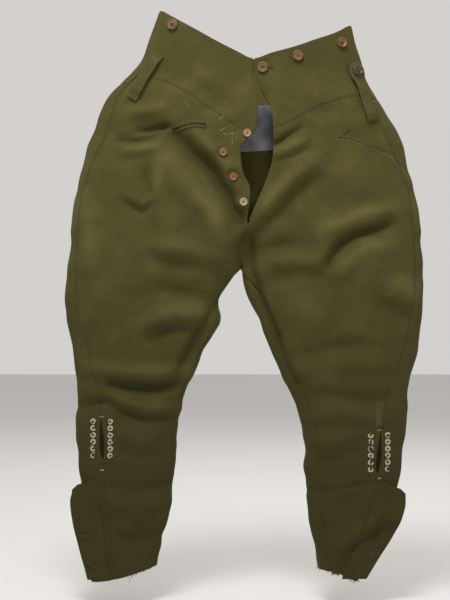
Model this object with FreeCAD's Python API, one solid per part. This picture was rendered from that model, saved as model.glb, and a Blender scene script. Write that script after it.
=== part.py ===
import FreeCAD, Part
import math
import os

# Wool riding breeches, hung by the waistband.  Millimetres, +Z up, -Y is the front,
# +X is the wearer's left.  The origin is the middle of the waist opening, at the
# height of the waist button.
V = FreeCAD.Vector
RIGHT, LEFT = -1, 1          # the sign of X on each side
SIDES = {"right": RIGHT, "left": LEFT}

# ---- driving dimensions -------------------------------------------------------
CLOTH = 2.4                  # serge with its lining and seam allowance
LINING = 1.2
SEAM_GAP = 0.5               # between two pieces sewn edge to edge
LAYER_GAP = 0.9              # between two pieces that lie on each other
FOLD_GAP = 3.4               # between two pieces that fold along a line
BACK_LINING_GAP = 3.6        # the back's lining hangs free of it
ROUND = 2.5                  # 2 would make the tubes elliptic; more makes them flatter
CROTCH_Z = -335.0
LEGS_PART_Z = -262.0         # below here the one tube turns into two
FLY_FOOT_Z = -258.0
HIP_RISE = 140.0             # how much higher the groin crease is at the side
GROIN_LENGTH = 90.0          # cloth that folds when a hip bends
KNEE_Z = -500.0
KNEE_LENGTH = 90.0
BRACE_BUTTON_R, FLY_BUTTON_R, ANKLE_BUTTON_R = 9.0, 6.8, 6.0
SHANK = 0.3                  # thread shank radius, as a share of the button's
EYELET_R, EYELET_HOLE_R, EYELET_PITCH, EYELET_COUNT = 5.0, 2.0, 11.5, 6
EYELET_ROWS_APART = 29.0
EYELET_WALL_R, EYELET_LENGTH = 2.9, 5.5
SLIT_TOP_Z = {RIGHT: -588.0, LEFT: -611.0}
SLIT_WIDTH = 3.0
CALF_SEAM_ANGLE = 74.0       # how far round the front of the calf goes, to pass the eyelets
BELT_GAP = 6.0               # room for a belt under each loop
LOOP_WIDTH = 19.0
LOOP_SEWN_LIFT = 1.9         # how high a loop lies where it is sewn down, over its seam
LOOP_FROM_EDGE = 12.0        # the least from a loop to the fold at the side

# Outlines are (height, x), from the waist down to the hem.
OUTER_EDGE = {
    RIGHT: [(104, -145), (56, -163), (15, -179), (-5, -196), (-39, -231), (-110, -260),
            (-206, -286), (-301, -300), (-396, -306), (-468, -296), (-539, -287),
            (-610, -286), (-682, -282), (-760, -274), (-880, -262)],
    LEFT: [(104, 176), (56, 187), (15, 200), (-15, 209), (-63, 237), (-110, 262),
           (-206, 289), (-301, 303), (-396, 304), (-468, 296), (-539, 281),
           (-610, 273), (-682, 266), (-740, 252), (-800, 228), (-880, 188)],
}
CENTRE_LINE = [(104, 15), (15, 15), (FLY_FOOT_Z, 4), (CROTCH_Z, -8)]
INSEAM = {
    RIGHT: CENTRE_LINE + [(-384, -40), (-424, -43), (-449, -58), (-515, -90), (-587, -113),
                          (-658, -117), (-729, -126), (-801, -143), (-880, -160)],
    LEFT: CENTRE_LINE + [(-381, 5), (-424, 24), (-489, 49), (-551, 77), (-610, 99),
                         (-682, 102), (-753, 109), (-825, 121), (-880, 130)],
}
HALF_DEPTH = [(104, 44), (0, 46), (-110, 54), (-206, 56), (-301, 54), (-396, 48),
              (-500, 38), (-610, 34), (-700, 34), (-880, 26)]
# How far the side seam stands forward of the outer edge, and the inseam of the inner one.
SIDE_SEAM_IN = [(104, 14), (-110, 22), (-206, 12), (-301, 14), (-396, 20), (-468, 27),
                (-539, 37), (-600, 43), (-880, 43)]
INSEAM_IN = {RIGHT: 4.0, LEFT: 21.0}

# Edges across the garment are (x, height).
TOP_FRONT = [(-146, 104), (-116, 85), (-82, 65), (-45, 44), (-14, 28), (14, 16), (46, 26),
             (88, 38), (121, 50), (153, 62), (184, 80)]
TOP_BACK = [(-146, 104), (-130, 94), (-112, 75), (-50, 26), (-15, -2), (12, -24), (40, 0),
            (80, 30), (135, 54), (168, 71), (184, 80)]
YOKE_SEAM_FRONT = [(-270, -12), (-155, -17), (-104, -39), (-47, -78), (12, -108), (60, -98),
                   (121, -66), (178, -48), (270, -42)]
YOKE_SEAM_BACK = [(-270, -12), (-150, -34), (0, -74), (150, -56), (270, -42)]
HEM = {RIGHT: [(-290, -872), (-262, -870), (-200, -858), (-140, -838)],
       LEFT: [(120, -848), (160, -852), (195, -868), (230, -872)]}


# ---- the shape of the garment -------------------------------------------------
def smooth(points, at):
    """The value of a smooth curve through (position, value) points, held level past its ends."""
    points = sorted(points)
    if at <= points[0][0]:
        return points[0][1]
    if at >= points[-1][0]:
        return points[-1][1]
    slopes = [(b[1] - a[1]) / (b[0] - a[0]) for a, b in zip(points, points[1:])]
    tangents = [slopes[0]] + [(a + b) / 2 if a * b > 0 else 0.0
                              for a, b in zip(slopes, slopes[1:])] + [slopes[-1]]
    i = max(k for k in range(len(points) - 1) if points[k][0] <= at)
    (x0, y0), (x1, y1) = points[i], points[i + 1]
    step = x1 - x0
    t = (at - x0) / step
    return ((1 + 2 * t) * (1 - t) ** 2 * y0 + t * (1 - t) ** 2 * step * tangents[i]
            + t * t * (3 - 2 * t) * y1 + t * t * (t - 1) * step * tangents[i + 1])


def half_of(side, z):
    """Middle and half width of one half of the garment at a height."""
    outer, inner = smooth(OUTER_EDGE[side], z), smooth(INSEAM[side], z)
    return (outer + inner) / 2, abs(outer - inner) / 2


def bulge(share):
    """How full a cross-section is, from 1 in the middle to 0 at its edge."""
    return (1 - min(1.0, abs(share)) ** ROUND) ** (1 / ROUND)


def fullness(side, x, z):
    """The share of the half depth at an x: one flat tube above, a tube for each leg below."""
    right, left = smooth(OUTER_EDGE[RIGHT], z), smooth(OUTER_EDGE[LEFT], z)
    as_trunk = bulge((2 * x - right - left) / (left - right))
    middle, half = half_of(side, z)
    as_leg = bulge((x - middle) / half)
    t = min(1.0, max(0.0, (z - LEGS_PART_Z) / (CROTCH_Z - LEGS_PART_Z)))
    leg = t * t * (3 - 2 * t)
    return as_trunk * (1 - leg) + as_leg * leg


class Face:
    """The front (-1) or the back (1) of the garment, located by x and height."""
    step = 0.4

    def __init__(self, facing, side=None):
        self.facing = self.turn = facing
        self.side = side

    def point(self, x, z):
        side = self.side
        if side is None or z > CROTCH_Z:
            side = RIGHT if x < smooth(CENTRE_LINE, z) else LEFT
        return V(x, self.facing * smooth(HALF_DEPTH, z) * fullness(side, x, z), z)


class Round:
    """All the way round one half, by angle and height.  The angle is -90 at the inseam or
    centre front, 90 at the outer edge and 270 at the inseam or centre back."""
    step = 1.5

    def __init__(self, side):
        self.side = side
        self.turn = -side

    def point(self, angle, z):
        middle, half = half_of(self.side, z)
        across, ahead = math.sin(math.radians(angle)), math.cos(math.radians(angle))
        size = (abs(across) ** ROUND + abs(ahead) ** ROUND) ** (1 / ROUND)
        x = middle + self.side * half * across / size
        facing = -1 if ahead >= 0 else 1
        return V(x, facing * smooth(HALF_DEPTH, z) * fullness(self.side, x, z), z)


FRONT, BACK = Face(-1), Face(1)


def outward(surface, u, z):
    """The direction out of the cloth at a point."""
    if isinstance(surface, Round) and z > CROTCH_Z and not 45 < u < 135:
        x = surface.point(u, z).x
        return outward(FRONT if u < 90 else BACK, x, z)
    across = surface.point(u + surface.step, z) - surface.point(u - surface.step, z)
    up = surface.point(u, z + 2) - surface.point(u, z - 2)
    return (up.cross(across) * surface.turn).normalize()


def off(surface, u, z, lift):
    """A point a distance off the outside of the cloth."""
    return surface.point(u, z) + outward(surface, u, z) * lift


def angle_at(side, x, z):
    """The angle round the front at which the cloth has a given x."""
    middle, half = half_of(side, z)
    share = max(-1.0, min(1.0, (x - middle) * side / half))
    return math.degrees(math.atan2(share, bulge(share)))


def side_seam_x(side, gap=0.0):
    return lambda z: smooth(OUTER_EDGE[side], z) - side * (smooth(SIDE_SEAM_IN, z) + gap)


def inseam_x(side, gap=0.0):
    def x(z):
        below = min(1.0, max(0.0, (CROTCH_Z - z) / 60.0))
        return smooth(INSEAM[side], z) + side * (1.0 + gap + INSEAM_IN[side] * below)
    return x


def side_seam(side, gap=0.0):
    return lambda z: angle_at(side, side_seam_x(side, gap)(z), z)


def centre_back(side):
    """Where the back of a hip ends."""
    return lambda z: 180 - angle_at(side, inseam_x(side)(z), max(z, CROTCH_Z))


def inseam(side, gap=0.0, turns=0):
    """Where a panel of a leg meets the inseam: from the front, or a full turn on."""
    def angle(z):
        low = min(z, CROTCH_Z - 6)
        return turns + angle_at(side, inseam_x(side, gap)(low), low)
    return angle


def groin_line(x):
    """The crease where the thigh folds: low at the crotch, high at the side."""
    return CROTCH_Z - 5 + HIP_RISE * abs(x + 8) / 295.0


def at(height):
    return lambda x: height


def edge(points, lift=0.0):
    return lambda x: smooth(points, x) + lift


# ---- cloth ---------------------------------------------------------------------
def thick(outer, inner):
    """A closed solid between two grids of points with the same rows and columns."""
    skins = []
    for grid in (outer, inner):
        skin = Part.BSplineSurface()
        skin.interpolate(grid)
        skins.append(skin)
    faces = [skin.toShape() for skin in skins]
    u0, u1, v0, v1 = skins[0].bounds()
    for name, value in (("uIso", u0), ("uIso", u1), ("vIso", v0), ("vIso", v1)):
        rims = [Part.Wire(getattr(skin, name)(value).toShape()) for skin in skins]
        faces += Part.makeLoft(rims, False, True).Faces
    body = Part.makeCompound(faces)
    body.sewShape(0.001)
    shell = body.Shells[0]
    solid = Part.Solid(shell)
    if solid.Volume < 0:
        shell.reverse()
        solid = Part.Solid(shell)
    if not solid.isValid() or not shell.isClosed():
        raise ValueError("a piece of cloth did not close")
    return solid


def spot(surface, start, end, bottom, top, a, b):
    """The place a share a across a piece of cloth and b up it."""
    z = (bottom(0) + top(0)) / 2
    for _ in range(12):
        u = start(z) + a * (end(z) - start(z))
        x = surface.point(u, z).x
        z = bottom(x) + b * (top(x) - bottom(x))
    return u, z


def cloth(surface, start, end, bottom, top, columns=11, rows=7, lift=0.0, depth=CLOTH):
    """A piece of cloth on a surface, between two seams and two edges."""
    outer, inner = [], []
    for i in range(columns):
        across = i / (columns - 1)
        if isinstance(surface, Face):
            across = (1 - math.cos(math.pi * across)) / 2
        places = [spot(surface, start, end, bottom, top, across, j / (rows - 1))
                  for j in range(rows)]
        outer.append([off(surface, *p, lift) for p in places])
        inner.append([off(surface, *p, lift - depth) for p in places])
    return thick(outer, inner)


def ribbon(face, rows):
    """A strap that follows the cloth.  Each row is its places across and its height there."""
    outer = [[off(face, *p, lift + CLOTH) for p in places] for places, lift in rows]
    inner = [[off(face, *p, lift) for p in places] for places, lift in rows]
    return thick(outer, inner)


def strip(points, width, direction, depth):
    """A flat strap along a line of points, with its width along a direction."""
    half = direction.normalize() * (width / 2)
    outer, inner = [], []
    for i, p in enumerate(points):
        before, after = points[max(0, i - 1)], points[min(len(points) - 1, i + 1)]
        normal = (after - before).cross(half).normalize()
        normal = normal if normal.y < 0 else -normal
        outer.append([p - half, p, p + half])
        inner.append([q - normal * depth for q in outer[-1]])
    return thick(outer, inner)


# ---- buttons and eyelets ----------------------------------------------------------
def stand_on(shape, base, normal):
    """Turns a piece made along +Z to a normal and puts it at a point."""
    shape.Placement = FreeCAD.Placement(base, FreeCAD.Rotation(V(0, 0, 1), normal))
    return shape


def button(radius):
    """A dished button with a rolled rim and four sewing holes, its underside at z = 0."""
    height, rim = radius * 0.34, radius * 0.2
    disc = Part.makeCylinder(radius, height)
    disc = disc.makeFillet(height * 0.45, [e for e in disc.Edges if len(e.Vertexes) == 1])
    dish = Part.makeCone(radius - 2 * rim, radius - rim, height * 0.4, V(0, 0, height * 0.62))
    disc = disc.cut(dish)
    for k in range(4):
        turn = math.radians(45 + 90 * k)
        hole = V(radius * 0.24 * math.cos(turn), radius * 0.24 * math.sin(turn), -1)
        disc = disc.cut(Part.makeCylinder(radius * 0.1, height + 2, hole))
    return disc


def eyelet():
    """A worked eyelet: a round rim lying on the cloth and a straight wall through it."""
    ring = Part.makeCylinder(EYELET_R, 1.1)
    ring = ring.makeFillet(0.5, [e for e in ring.Edges
                                 if len(e.Vertexes) == 1 and e.BoundBox.ZMin > 1])
    ring = ring.fuse(Part.makeCylinder(EYELET_WALL_R, EYELET_LENGTH, V(0, 0, 1 - EYELET_LENGTH)))
    return ring.cut(Part.makeCylinder(EYELET_HOLE_R, 20, V(0, 0, -10)))


parts = {}


# ---- yoke, hip panels and linings -------------------------------------------------
FOLD_FOOT, FOLD_HEAD = (-240.0, 50.0), (70.0, 124.0)   # the line the left front folds on
FLAP_EDGE = [(60, 16), (0, 16), (-40, 29), (-65, 42), (-108, 47), (-160, 44), (-215, 24),
             (FLY_FOOT_Z, 5)]
BUTTON_EDGE = [(60, 13), (-20, 12), (-66, 22), (-108, 14), (-138, -8), (-175, -4), (-205, 8),
               (FLY_FOOT_Z, 3)]
FLY_BUTTONS = [(3, -111), (-37, -143), (-20, -184), (-3, -226)]


def folding_part(gap):
    """A tool for the part of the left front that folds open, larger all round by a gap."""
    (z0, x0), (z1, x1) = FOLD_FOOT, FOLD_HEAD
    lean = (x1 - x0) / (z1 - z0)
    top = 160.0
    corners = [V(-40, -80, z0 - gap), V(x0 + gap, -80, z0 - gap),
               V(x0 + lean * (top - z0) + gap, -80, top), V(-40, -80, top)]
    return Part.Face(Part.makePolygon(corners + corners[:1])).extrude(V(0, 80, 0))


def flap_edge(inset=0.0):
    """The free edge of the wearer's left front; below the fly, the centre seam."""
    def x(z):
        centre = inseam_x(LEFT, SEAM_GAP)(z)
        return (smooth(FLAP_EDGE, z) if z > FLY_FOOT_Z else centre) + inset
    return x


def button_edge(inset=0.0):
    """The free edge of the wearer's right front; below the fly, the centre seam."""
    def x(z):
        return smooth(BUTTON_EDGE, z) - inset if z > FLY_FOOT_Z else inseam_x(RIGHT)(z) - inset
    return x


def make_trunk():
    inner_edges = {RIGHT: button_edge, LEFT: flap_edge}
    for name, side in SIDES.items():
        inner = inner_edges[side]
        seam = side_seam_x(side, SEAM_GAP)
        around = Round(side), side_seam(side), centre_back(side)
        parts[f"{name}_front_yoke"] = cloth(
            FRONT, inner(), seam, edge(YOKE_SEAM_FRONT, SEAM_GAP), edge(TOP_FRONT))
        parts[f"{name}_back_yoke"] = cloth(
            *around, edge(YOKE_SEAM_BACK, SEAM_GAP), edge(TOP_BACK), columns=13)
        parts[f"{name}_front_hip"] = cloth(
            FRONT, inner(), seam, groin_line, edge(YOKE_SEAM_FRONT), rows=11)
        parts[f"{name}_back_hip"] = cloth(
            *around, groin_line, edge(YOKE_SEAM_BACK), columns=13, rows=9)
        parts[f"{name}_front_lining"] = cloth(
            FRONT, inner(26), side_seam_x(side, 14), edge(YOKE_SEAM_FRONT, 4),
            edge(TOP_FRONT, -6), lift=-CLOTH - LAYER_GAP, depth=LINING)
        parts[f"{name}_back_lining"] = cloth(
            Round(side), at(106.0), at(260.0), edge(YOKE_SEAM_BACK, -62), edge(TOP_BACK, -8),
            columns=13, lift=-CLOTH - BACK_LINING_GAP, depth=LINING)


def make_front_opening():
    """The left front that folds open with its facing, and what lies under it."""
    inner, outer = folding_part(0.0), folding_part(FOLD_GAP)
    for panel, flap in (("left_front_yoke", "front_flap_yoke"), ("left_front_hip", "front_flap_fly"),
                        ("left_front_lining", "front_flap_lining")):
        whole = parts[panel]
        parts[flap] = whole.common(inner)
        parts[panel] = whole.cut(outer)
    under = -CLOTH - LAYER_GAP
    parts["fly_facing"] = cloth(FRONT, flap_edge(2), flap_edge(22), at(FOLD_FOOT[0] + 18),
                                edge(YOKE_SEAM_FRONT, -4), columns=5, rows=9, lift=under,
                                depth=LINING)
    parts["waist_underlap"] = cloth(FRONT, at(15), at(50), at(-24), edge(TOP_FRONT, -8),
                                    columns=5, rows=4, lift=under - LINING - LAYER_GAP)
    parts["fly_button_stand"] = cloth(FRONT, button_edge(20), button_edge(2),
                                      at(FLY_FOOT_Z + 8), edge(YOKE_SEAM_FRONT, -4),
                                      columns=5, rows=9, lift=under, depth=LINING)


# ---- pockets -----------------------------------------------------------------------
POCKET_MOUTHS = {
    "right": [(-123, -104), (-104, -98), (-84, -95), (-66, -97)],
    "left": [(158, -118), (186, -124), (214, -134), (240, -142)],
}
POCKET_DEPTH = {"right": 62, "left": 70}
WELT_WIDTH, WELT_DEPTH = 7.0, 1.5


def make_pockets():
    """A welt along each pocket mouth, on the cloth, and a flat bag hanging inside."""
    for name, mouth in POCKET_MOUTHS.items():
        line = [off(FRONT, x, z, WELT_DEPTH + 0.5) for x, z in mouth]
        parts[f"{name}_pocket_welt"] = strip(line, WELT_WIDTH, V(0, 0, 1), WELT_DEPTH)
        middle = (mouth[0][1] + mouth[-1][1]) / 2
        parts[f"{name}_pocket_bag"] = cloth(
            FRONT, at(mouth[0][0]), at(mouth[-1][0]), at(middle - POCKET_DEPTH[name]),
            at(middle - 6), columns=5, rows=5, lift=-CLOTH - LAYER_GAP, depth=LINING * 2)


# ---- buttons, belt loops -------------------------------------------------------------
BRACE_FRONT = [(-122, 74), (162, 44)]
FLAP_BRACE = (88, 20)
BRACE_BACK = [(-62, 14), (86, 14)]
WAIST_BUTTON, TAB_BUTTON = (29, 0), (185, -4)
TAB_FOOT = (213, -90)
RIGHT_LOOP = (-144, 25), (-191, -53)
BACK_LOOPS_X = (-95, 120)
BACK_LOOP_TOP, BACK_LOOP_FOOT = 30, -62


def sew(node, places, radius, over, face=FRONT):
    """Buttons, each on a thread shank that holds its underside off the cloth."""
    buttons = []
    for x, z in places:
        disc = button(radius)
        disc.translate(V(0, 0, over))
        on_shank = disc.fuse(Part.makeCylinder(radius * SHANK, over + 0.2))
        buttons.append(stand_on(on_shank, face.point(x, z), outward(face, x, z)))
    parts[node] = Part.makeCompound(buttons)


def make_buttons():
    sew("brace_buttons_front", BRACE_FRONT, BRACE_BUTTON_R, 2.5)
    sew("brace_buttons_back", BRACE_BACK, BRACE_BUTTON_R, 2.5, BACK)
    sew("flap_brace_button", [FLAP_BRACE], BRACE_BUTTON_R, 2.5)
    sew("fly_buttons", FLY_BUTTONS, FLY_BUTTON_R, 1.8)
    sew("waist_button", [WAIST_BUTTON], BRACE_BUTTON_R, 2.0)
    sew("belt_tab_button", [TAB_BUTTON], BRACE_BUTTON_R, BELT_GAP + CLOTH + 2.0)


def loop_row(head, foot, share, half, sewn):
    """A row of a loop: three places across it, and its height, from head (0) to foot (1)."""
    dx, dz = foot[0] - head[0], foot[1] - head[1]
    x, z = head[0] + share * dx, head[1] + share * dz
    length = math.hypot(dx, dz)
    aside = -dz / length * half, dx / length * half
    places = []
    for k in (-1, 0, 1):
        height = z + k * aside[1]
        right, left = (smooth(OUTER_EDGE[s], height) - s * LOOP_FROM_EDGE for s in (RIGHT, LEFT))
        places.append((min(left, max(right, x + k * aside[0])), height))
    return places, LOOP_SEWN_LIFT + (BELT_GAP - LOOP_SEWN_LIFT) * min(1.0, max(0.0, sewn))


def loop(head, foot, face):
    rows = [loop_row(head, foot, share, LOOP_WIDTH / 2, (min(share, 1 - share) - 0.06) / 0.1)
            for share in (0.0, 0.06, 0.16, 0.33, 0.5, 0.67, 0.84, 0.94, 1.0)]
    return ribbon(face, rows)


def make_belt_loops():
    parts["right_belt_loop"] = loop(*RIGHT_LOOP, FRONT)
    parts["back_belt_loops"] = Part.makeCompound(
        [loop((x, BACK_LOOP_TOP), (x, BACK_LOOP_FOOT), BACK) for x in BACK_LOOPS_X])


def drill(x, z, radius):
    """A round tool straight through the front of the garment."""
    normal = outward(FRONT, x, z)
    return stand_on(Part.makeCylinder(radius, 40), FRONT.point(x, z) - normal * 20, normal)


def open_buttonhole(panel, hole, place, radius):
    """Splits off the worked cloth round a buttonhole, which stretches over its button."""
    around = drill(*place, radius)
    shank = drill(*place, BRACE_BUTTON_R * SHANK + 0.6)
    parts[hole] = parts[panel].common(around).cut(shank)
    parts[panel] = parts[panel].cut(drill(*place, radius + 0.2))


def make_belt_tab():
    """The left loop is a tab, sewn at its foot and held by a button at its flared head."""
    head = TAB_BUTTON[0] - 4, TAB_BUTTON[1] + 14
    outline = [(0, 9), (0.04, 13), (0.1, 14.5), (0.17, 14.5), (0.25, 13), (0.33, 10.5),
               (0.45, 9.5), (0.6, 9.5), (0.75, 9.5), (0.86, 9.5), (0.93, 9.5), (1, 9.5)]
    rows = [loop_row(head, TAB_FOOT, share, half, (1 - share) / 0.14)
            for share, half in outline]
    parts["left_belt_tab"] = ribbon(FRONT, rows)
    open_buttonhole("left_belt_tab", "belt_tab_buttonhole", TAB_BUTTON, BRACE_BUTTON_R + 1.4)


# ---- legs ----------------------------------------------------------------------------
def below_groin(drop):
    return lambda x: groin_line(x) - drop


def make_leg(name, side):
    half_knee = KNEE_LENGTH / 2
    bands = {"groin": (below_groin(GROIN_LENGTH), below_groin(SEAM_GAP)),
             "thigh": (at(KNEE_Z + half_knee), below_groin(GROIN_LENGTH + SEAM_GAP)),
             "knee": (at(KNEE_Z - half_knee), at(KNEE_Z + half_knee - SEAM_GAP)),
             "calf": (edge(HEM[side]), at(KNEE_Z - half_knee - SEAM_GAP))}
    for band, (bottom, top) in bands.items():
        seam, gapped, rows = side_seam(side), side_seam(side, SEAM_GAP), 7
        if band == "calf":
            seam, gapped, rows = at(CALF_SEAM_ANGLE + 1), at(CALF_SEAM_ANGLE), 11
        parts[f"{name}_front_{band}"] = cloth(
            Round(side), inseam(side, SEAM_GAP), gapped, bottom, top, rows=rows)
        parts[f"{name}_back_{band}"] = cloth(
            Round(side), seam, inseam(side, turns=360), bottom, top, columns=17, rows=rows)


def slit_x(side):
    """Where the calf slit is: on the side seam."""
    return side_seam_x(side)(SLIT_TOP_Z[side] - 45)


SLIT_LENGTH = EYELET_PITCH * (EYELET_COUNT - 1) + 14


def make_lacing(name, side):
    """A slit on the side seam, two rows of eyelets, a facing inside and a gusset behind."""
    x, half, face = slit_x(side), EYELET_ROWS_APART / 2, Face(-1, side)
    top, foot = SLIT_TOP_Z[side], SLIT_TOP_Z[side] - SLIT_LENGTH
    middle_z = (top + foot) / 2
    along = SLIT_LENGTH + 10
    facing = cloth(face, at(x - half - 8), at(x + half + 8), at(foot - 5), at(top + 5),
                   columns=5, rows=5, lift=-CLOTH - 0.6, depth=LINING)
    tools = [Part.makeBox(SLIT_WIDTH, 30, SLIT_LENGTH, V(x - SLIT_WIDTH / 2, -50, foot))]
    rings = []
    for s in (-1, 1):
        for k in range(EYELET_COUNT):
            z = top - 7 - k * EYELET_PITCH
            place, normal = face.point(x + s * half, z), outward(face, x + s * half, z)
            rings.append(stand_on(eyelet(), place + normal * 0.4, normal))
            tools.append(stand_on(Part.makeCylinder(EYELET_WALL_R + 0.1, 24),
                                  place - normal * 12, normal))
    cutter = Part.makeCompound(tools)
    parts[f"{name}_lace_eyelets"] = Part.makeCompound(rings)
    parts[f"{name}_lace_facing"] = facing.cut(cutter)
    parts[f"{name}_front_calf"] = parts[f"{name}_front_calf"].cut(cutter)
    parts[f"{name}_slit_gusset"] = cloth(
        face, at(x - 9), at(x + 9), at(middle_z - along / 2), at(middle_z + along / 2),
        columns=5, rows=5, lift=-CLOTH - LINING - 2.4, depth=LINING)


# The ankle flap: the line it is sewn on and its free outline, each (height, x).
FLAP_SEAM = {RIGHT: [(-690, -250), (-864, -224)], LEFT: [(-697, 230), (-862, 160)]}
FLAP_FREE = {RIGHT: [(-716, -293), (-730, -296), (-753, -294), (-801, -284), (-868, -266)],
             LEFT: [(-716, 272), (-731, 272), (-753, 267), (-777, 258), (-825, 228),
                    (-868, 202)]}
FLAP_DROP = 16.0             # how far the flap's top edge falls to its outer corner
BUTTONHOLES_Z = (-728, -760, -790, -818, -842)
BUTTONHOLE = 14.0, 1.2


def make_ankle(name, side):
    """A flap that wraps the ankle, sewn beside the side seam and free at its outer edge."""
    (top, x_top), (foot, x_foot) = FLAP_SEAM[side]
    face = Face(-1, side)
    outer, inner = [], []
    for row in range(9):
        z_seam = top + (foot - top) * row / 8
        x_seam = x_top + (x_foot - x_top) * row / 8 + side * FOLD_GAP
        x_free = smooth(FLAP_FREE[side], z_seam - FLAP_DROP * (1 - row / 8))
        line = []
        for share in (0, 0.2, 0.4, 0.6, 0.8, 0.93, 1.0):
            x = x_seam + share * (x_free - x_seam)
            z = z_seam - FLAP_DROP * (1 - row / 8) * share
            limit = smooth(OUTER_EDGE[side], z) - side * 16
            x_skin = limit if side * (x - limit) > 0 else x
            line.append(V(x, face.point(x_skin, z).y - CLOTH - 1.2, z))
        outer.append(line)
        inner.append([p + V(0, CLOTH, 0) for p in line])
    flap = thick(outer, inner)
    length, gap = BUTTONHOLE
    slots = []
    for z in BUTTONHOLES_Z:
        x_free = smooth(FLAP_FREE[side], z)
        start = min(x_free - side * 7, x_free - side * (7 + length))
        slots.append(Part.makeBox(length, 60, gap, V(start, -50, z)))
    parts[f"{name}_ankle_flap"] = flap.cut(Part.makeCompound(slots))
    places = [(smooth(OUTER_EDGE[side], z) - side * 26, z) for z in BUTTONHOLES_Z]
    sew(f"{name}_ankle_buttons", places, ANKLE_BUTTON_R, 1.5, Face(1, side))


make_trunk()
make_front_opening()
make_pockets()
make_buttons()
make_belt_loops()
make_belt_tab()
open_buttonhole("front_flap_yoke", "waist_buttonhole", WAIST_BUTTON, BRACE_BUTTON_R + 3.0)
for name, side in SIDES.items():
    make_leg(name, side)
    make_lacing(name, side)
    make_ankle(name, side)

os.makedirs("parts", exist_ok=True)
for name, shape in parts.items():
    if not shape.isValid() or shape.Volume <= 0:
        raise ValueError(f"{name} is not a sound solid")
    shape.exportStep(f"parts/{name}.step")
    print(f"{name}: {len(shape.Solids)} solid(s), {shape.Volume / 1000:.2f} cm3")
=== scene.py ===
import math

import bpy
import numpy as np
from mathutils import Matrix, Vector


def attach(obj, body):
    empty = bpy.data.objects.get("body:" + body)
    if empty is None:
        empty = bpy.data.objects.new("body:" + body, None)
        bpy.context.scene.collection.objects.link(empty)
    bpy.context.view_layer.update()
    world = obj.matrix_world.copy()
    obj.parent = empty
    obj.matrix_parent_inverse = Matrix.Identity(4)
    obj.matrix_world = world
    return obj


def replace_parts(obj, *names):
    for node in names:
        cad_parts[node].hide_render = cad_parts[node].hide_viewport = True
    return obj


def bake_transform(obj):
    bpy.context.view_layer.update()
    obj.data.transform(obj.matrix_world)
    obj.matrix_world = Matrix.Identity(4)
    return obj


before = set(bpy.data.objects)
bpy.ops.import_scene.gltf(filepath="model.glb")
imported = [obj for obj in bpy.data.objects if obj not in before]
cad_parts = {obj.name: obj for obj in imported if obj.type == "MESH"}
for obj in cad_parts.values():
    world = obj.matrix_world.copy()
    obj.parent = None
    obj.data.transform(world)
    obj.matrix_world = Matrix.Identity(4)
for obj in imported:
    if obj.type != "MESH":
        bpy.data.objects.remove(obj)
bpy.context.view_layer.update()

# Wool riding breeches, hung by the waistband.  Shapes are worked out in millimetres, in the
# frame of the CAD parts, and scaled by MM when a mesh is made.  +X is the wearer's left.
MM = 0.001
RIGHT, LEFT = -1, 1
SIDES = {"right": RIGHT, "left": LEFT}
FRONT, BACK = -1, 1

CLOTH, LINING = 2.4, 1.2
ROUND = 2.5
CROTCH_Z, LEGS_PART_Z = -335.0, -262.0
FLY_FOOT_Z = -258.0
HIP_RISE, GROIN_LENGTH = 140.0, 90.0
KNEE_Z, KNEE_LENGTH = -500.0, 90.0
EYELET_R, EYELET_PITCH, EYELET_COUNT = 5.0, 11.5, 6
EYELET_ROWS_APART = 29.0
SLIT_TOP_Z = {RIGHT: -588.0, LEFT: -611.0}
SLIT_LENGTH = EYELET_PITCH * (EYELET_COUNT - 1) + 14

# Outlines are (height, x), from the waist down to the hem.
OUTER_EDGE = {
    RIGHT: [(104, -145), (56, -163), (15, -179), (-5, -196), (-39, -231), (-110, -260),
            (-206, -286), (-301, -300), (-396, -306), (-468, -296), (-539, -287),
            (-610, -286), (-682, -282), (-760, -274), (-880, -262)],
    LEFT: [(104, 176), (56, 187), (15, 200), (-15, 209), (-63, 237), (-110, 262),
           (-206, 289), (-301, 303), (-396, 304), (-468, 296), (-539, 281),
           (-610, 273), (-682, 266), (-740, 252), (-800, 228), (-880, 188)],
}
CENTRE_LINE = [(104, 15), (15, 15), (FLY_FOOT_Z, 4), (CROTCH_Z, -8)]
INSEAM = {
    RIGHT: CENTRE_LINE + [(-384, -40), (-424, -43), (-449, -58), (-515, -90), (-587, -113),
                          (-658, -117), (-729, -126), (-801, -143), (-880, -160)],
    LEFT: CENTRE_LINE + [(-381, 5), (-424, 24), (-489, 49), (-551, 77), (-610, 99),
                         (-682, 102), (-753, 109), (-825, 121), (-880, 130)],
}
HALF_DEPTH = [(104, 44), (0, 46), (-110, 54), (-206, 56), (-301, 54), (-396, 48),
              (-500, 38), (-610, 34), (-700, 34), (-880, 26)]
SIDE_SEAM_IN = [(104, 14), (-110, 22), (-206, 12), (-301, 14), (-396, 20), (-468, 27),
                (-539, 37), (-600, 43), (-880, 43)]
INSEAM_IN = {RIGHT: 4.0, LEFT: 21.0}

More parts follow.
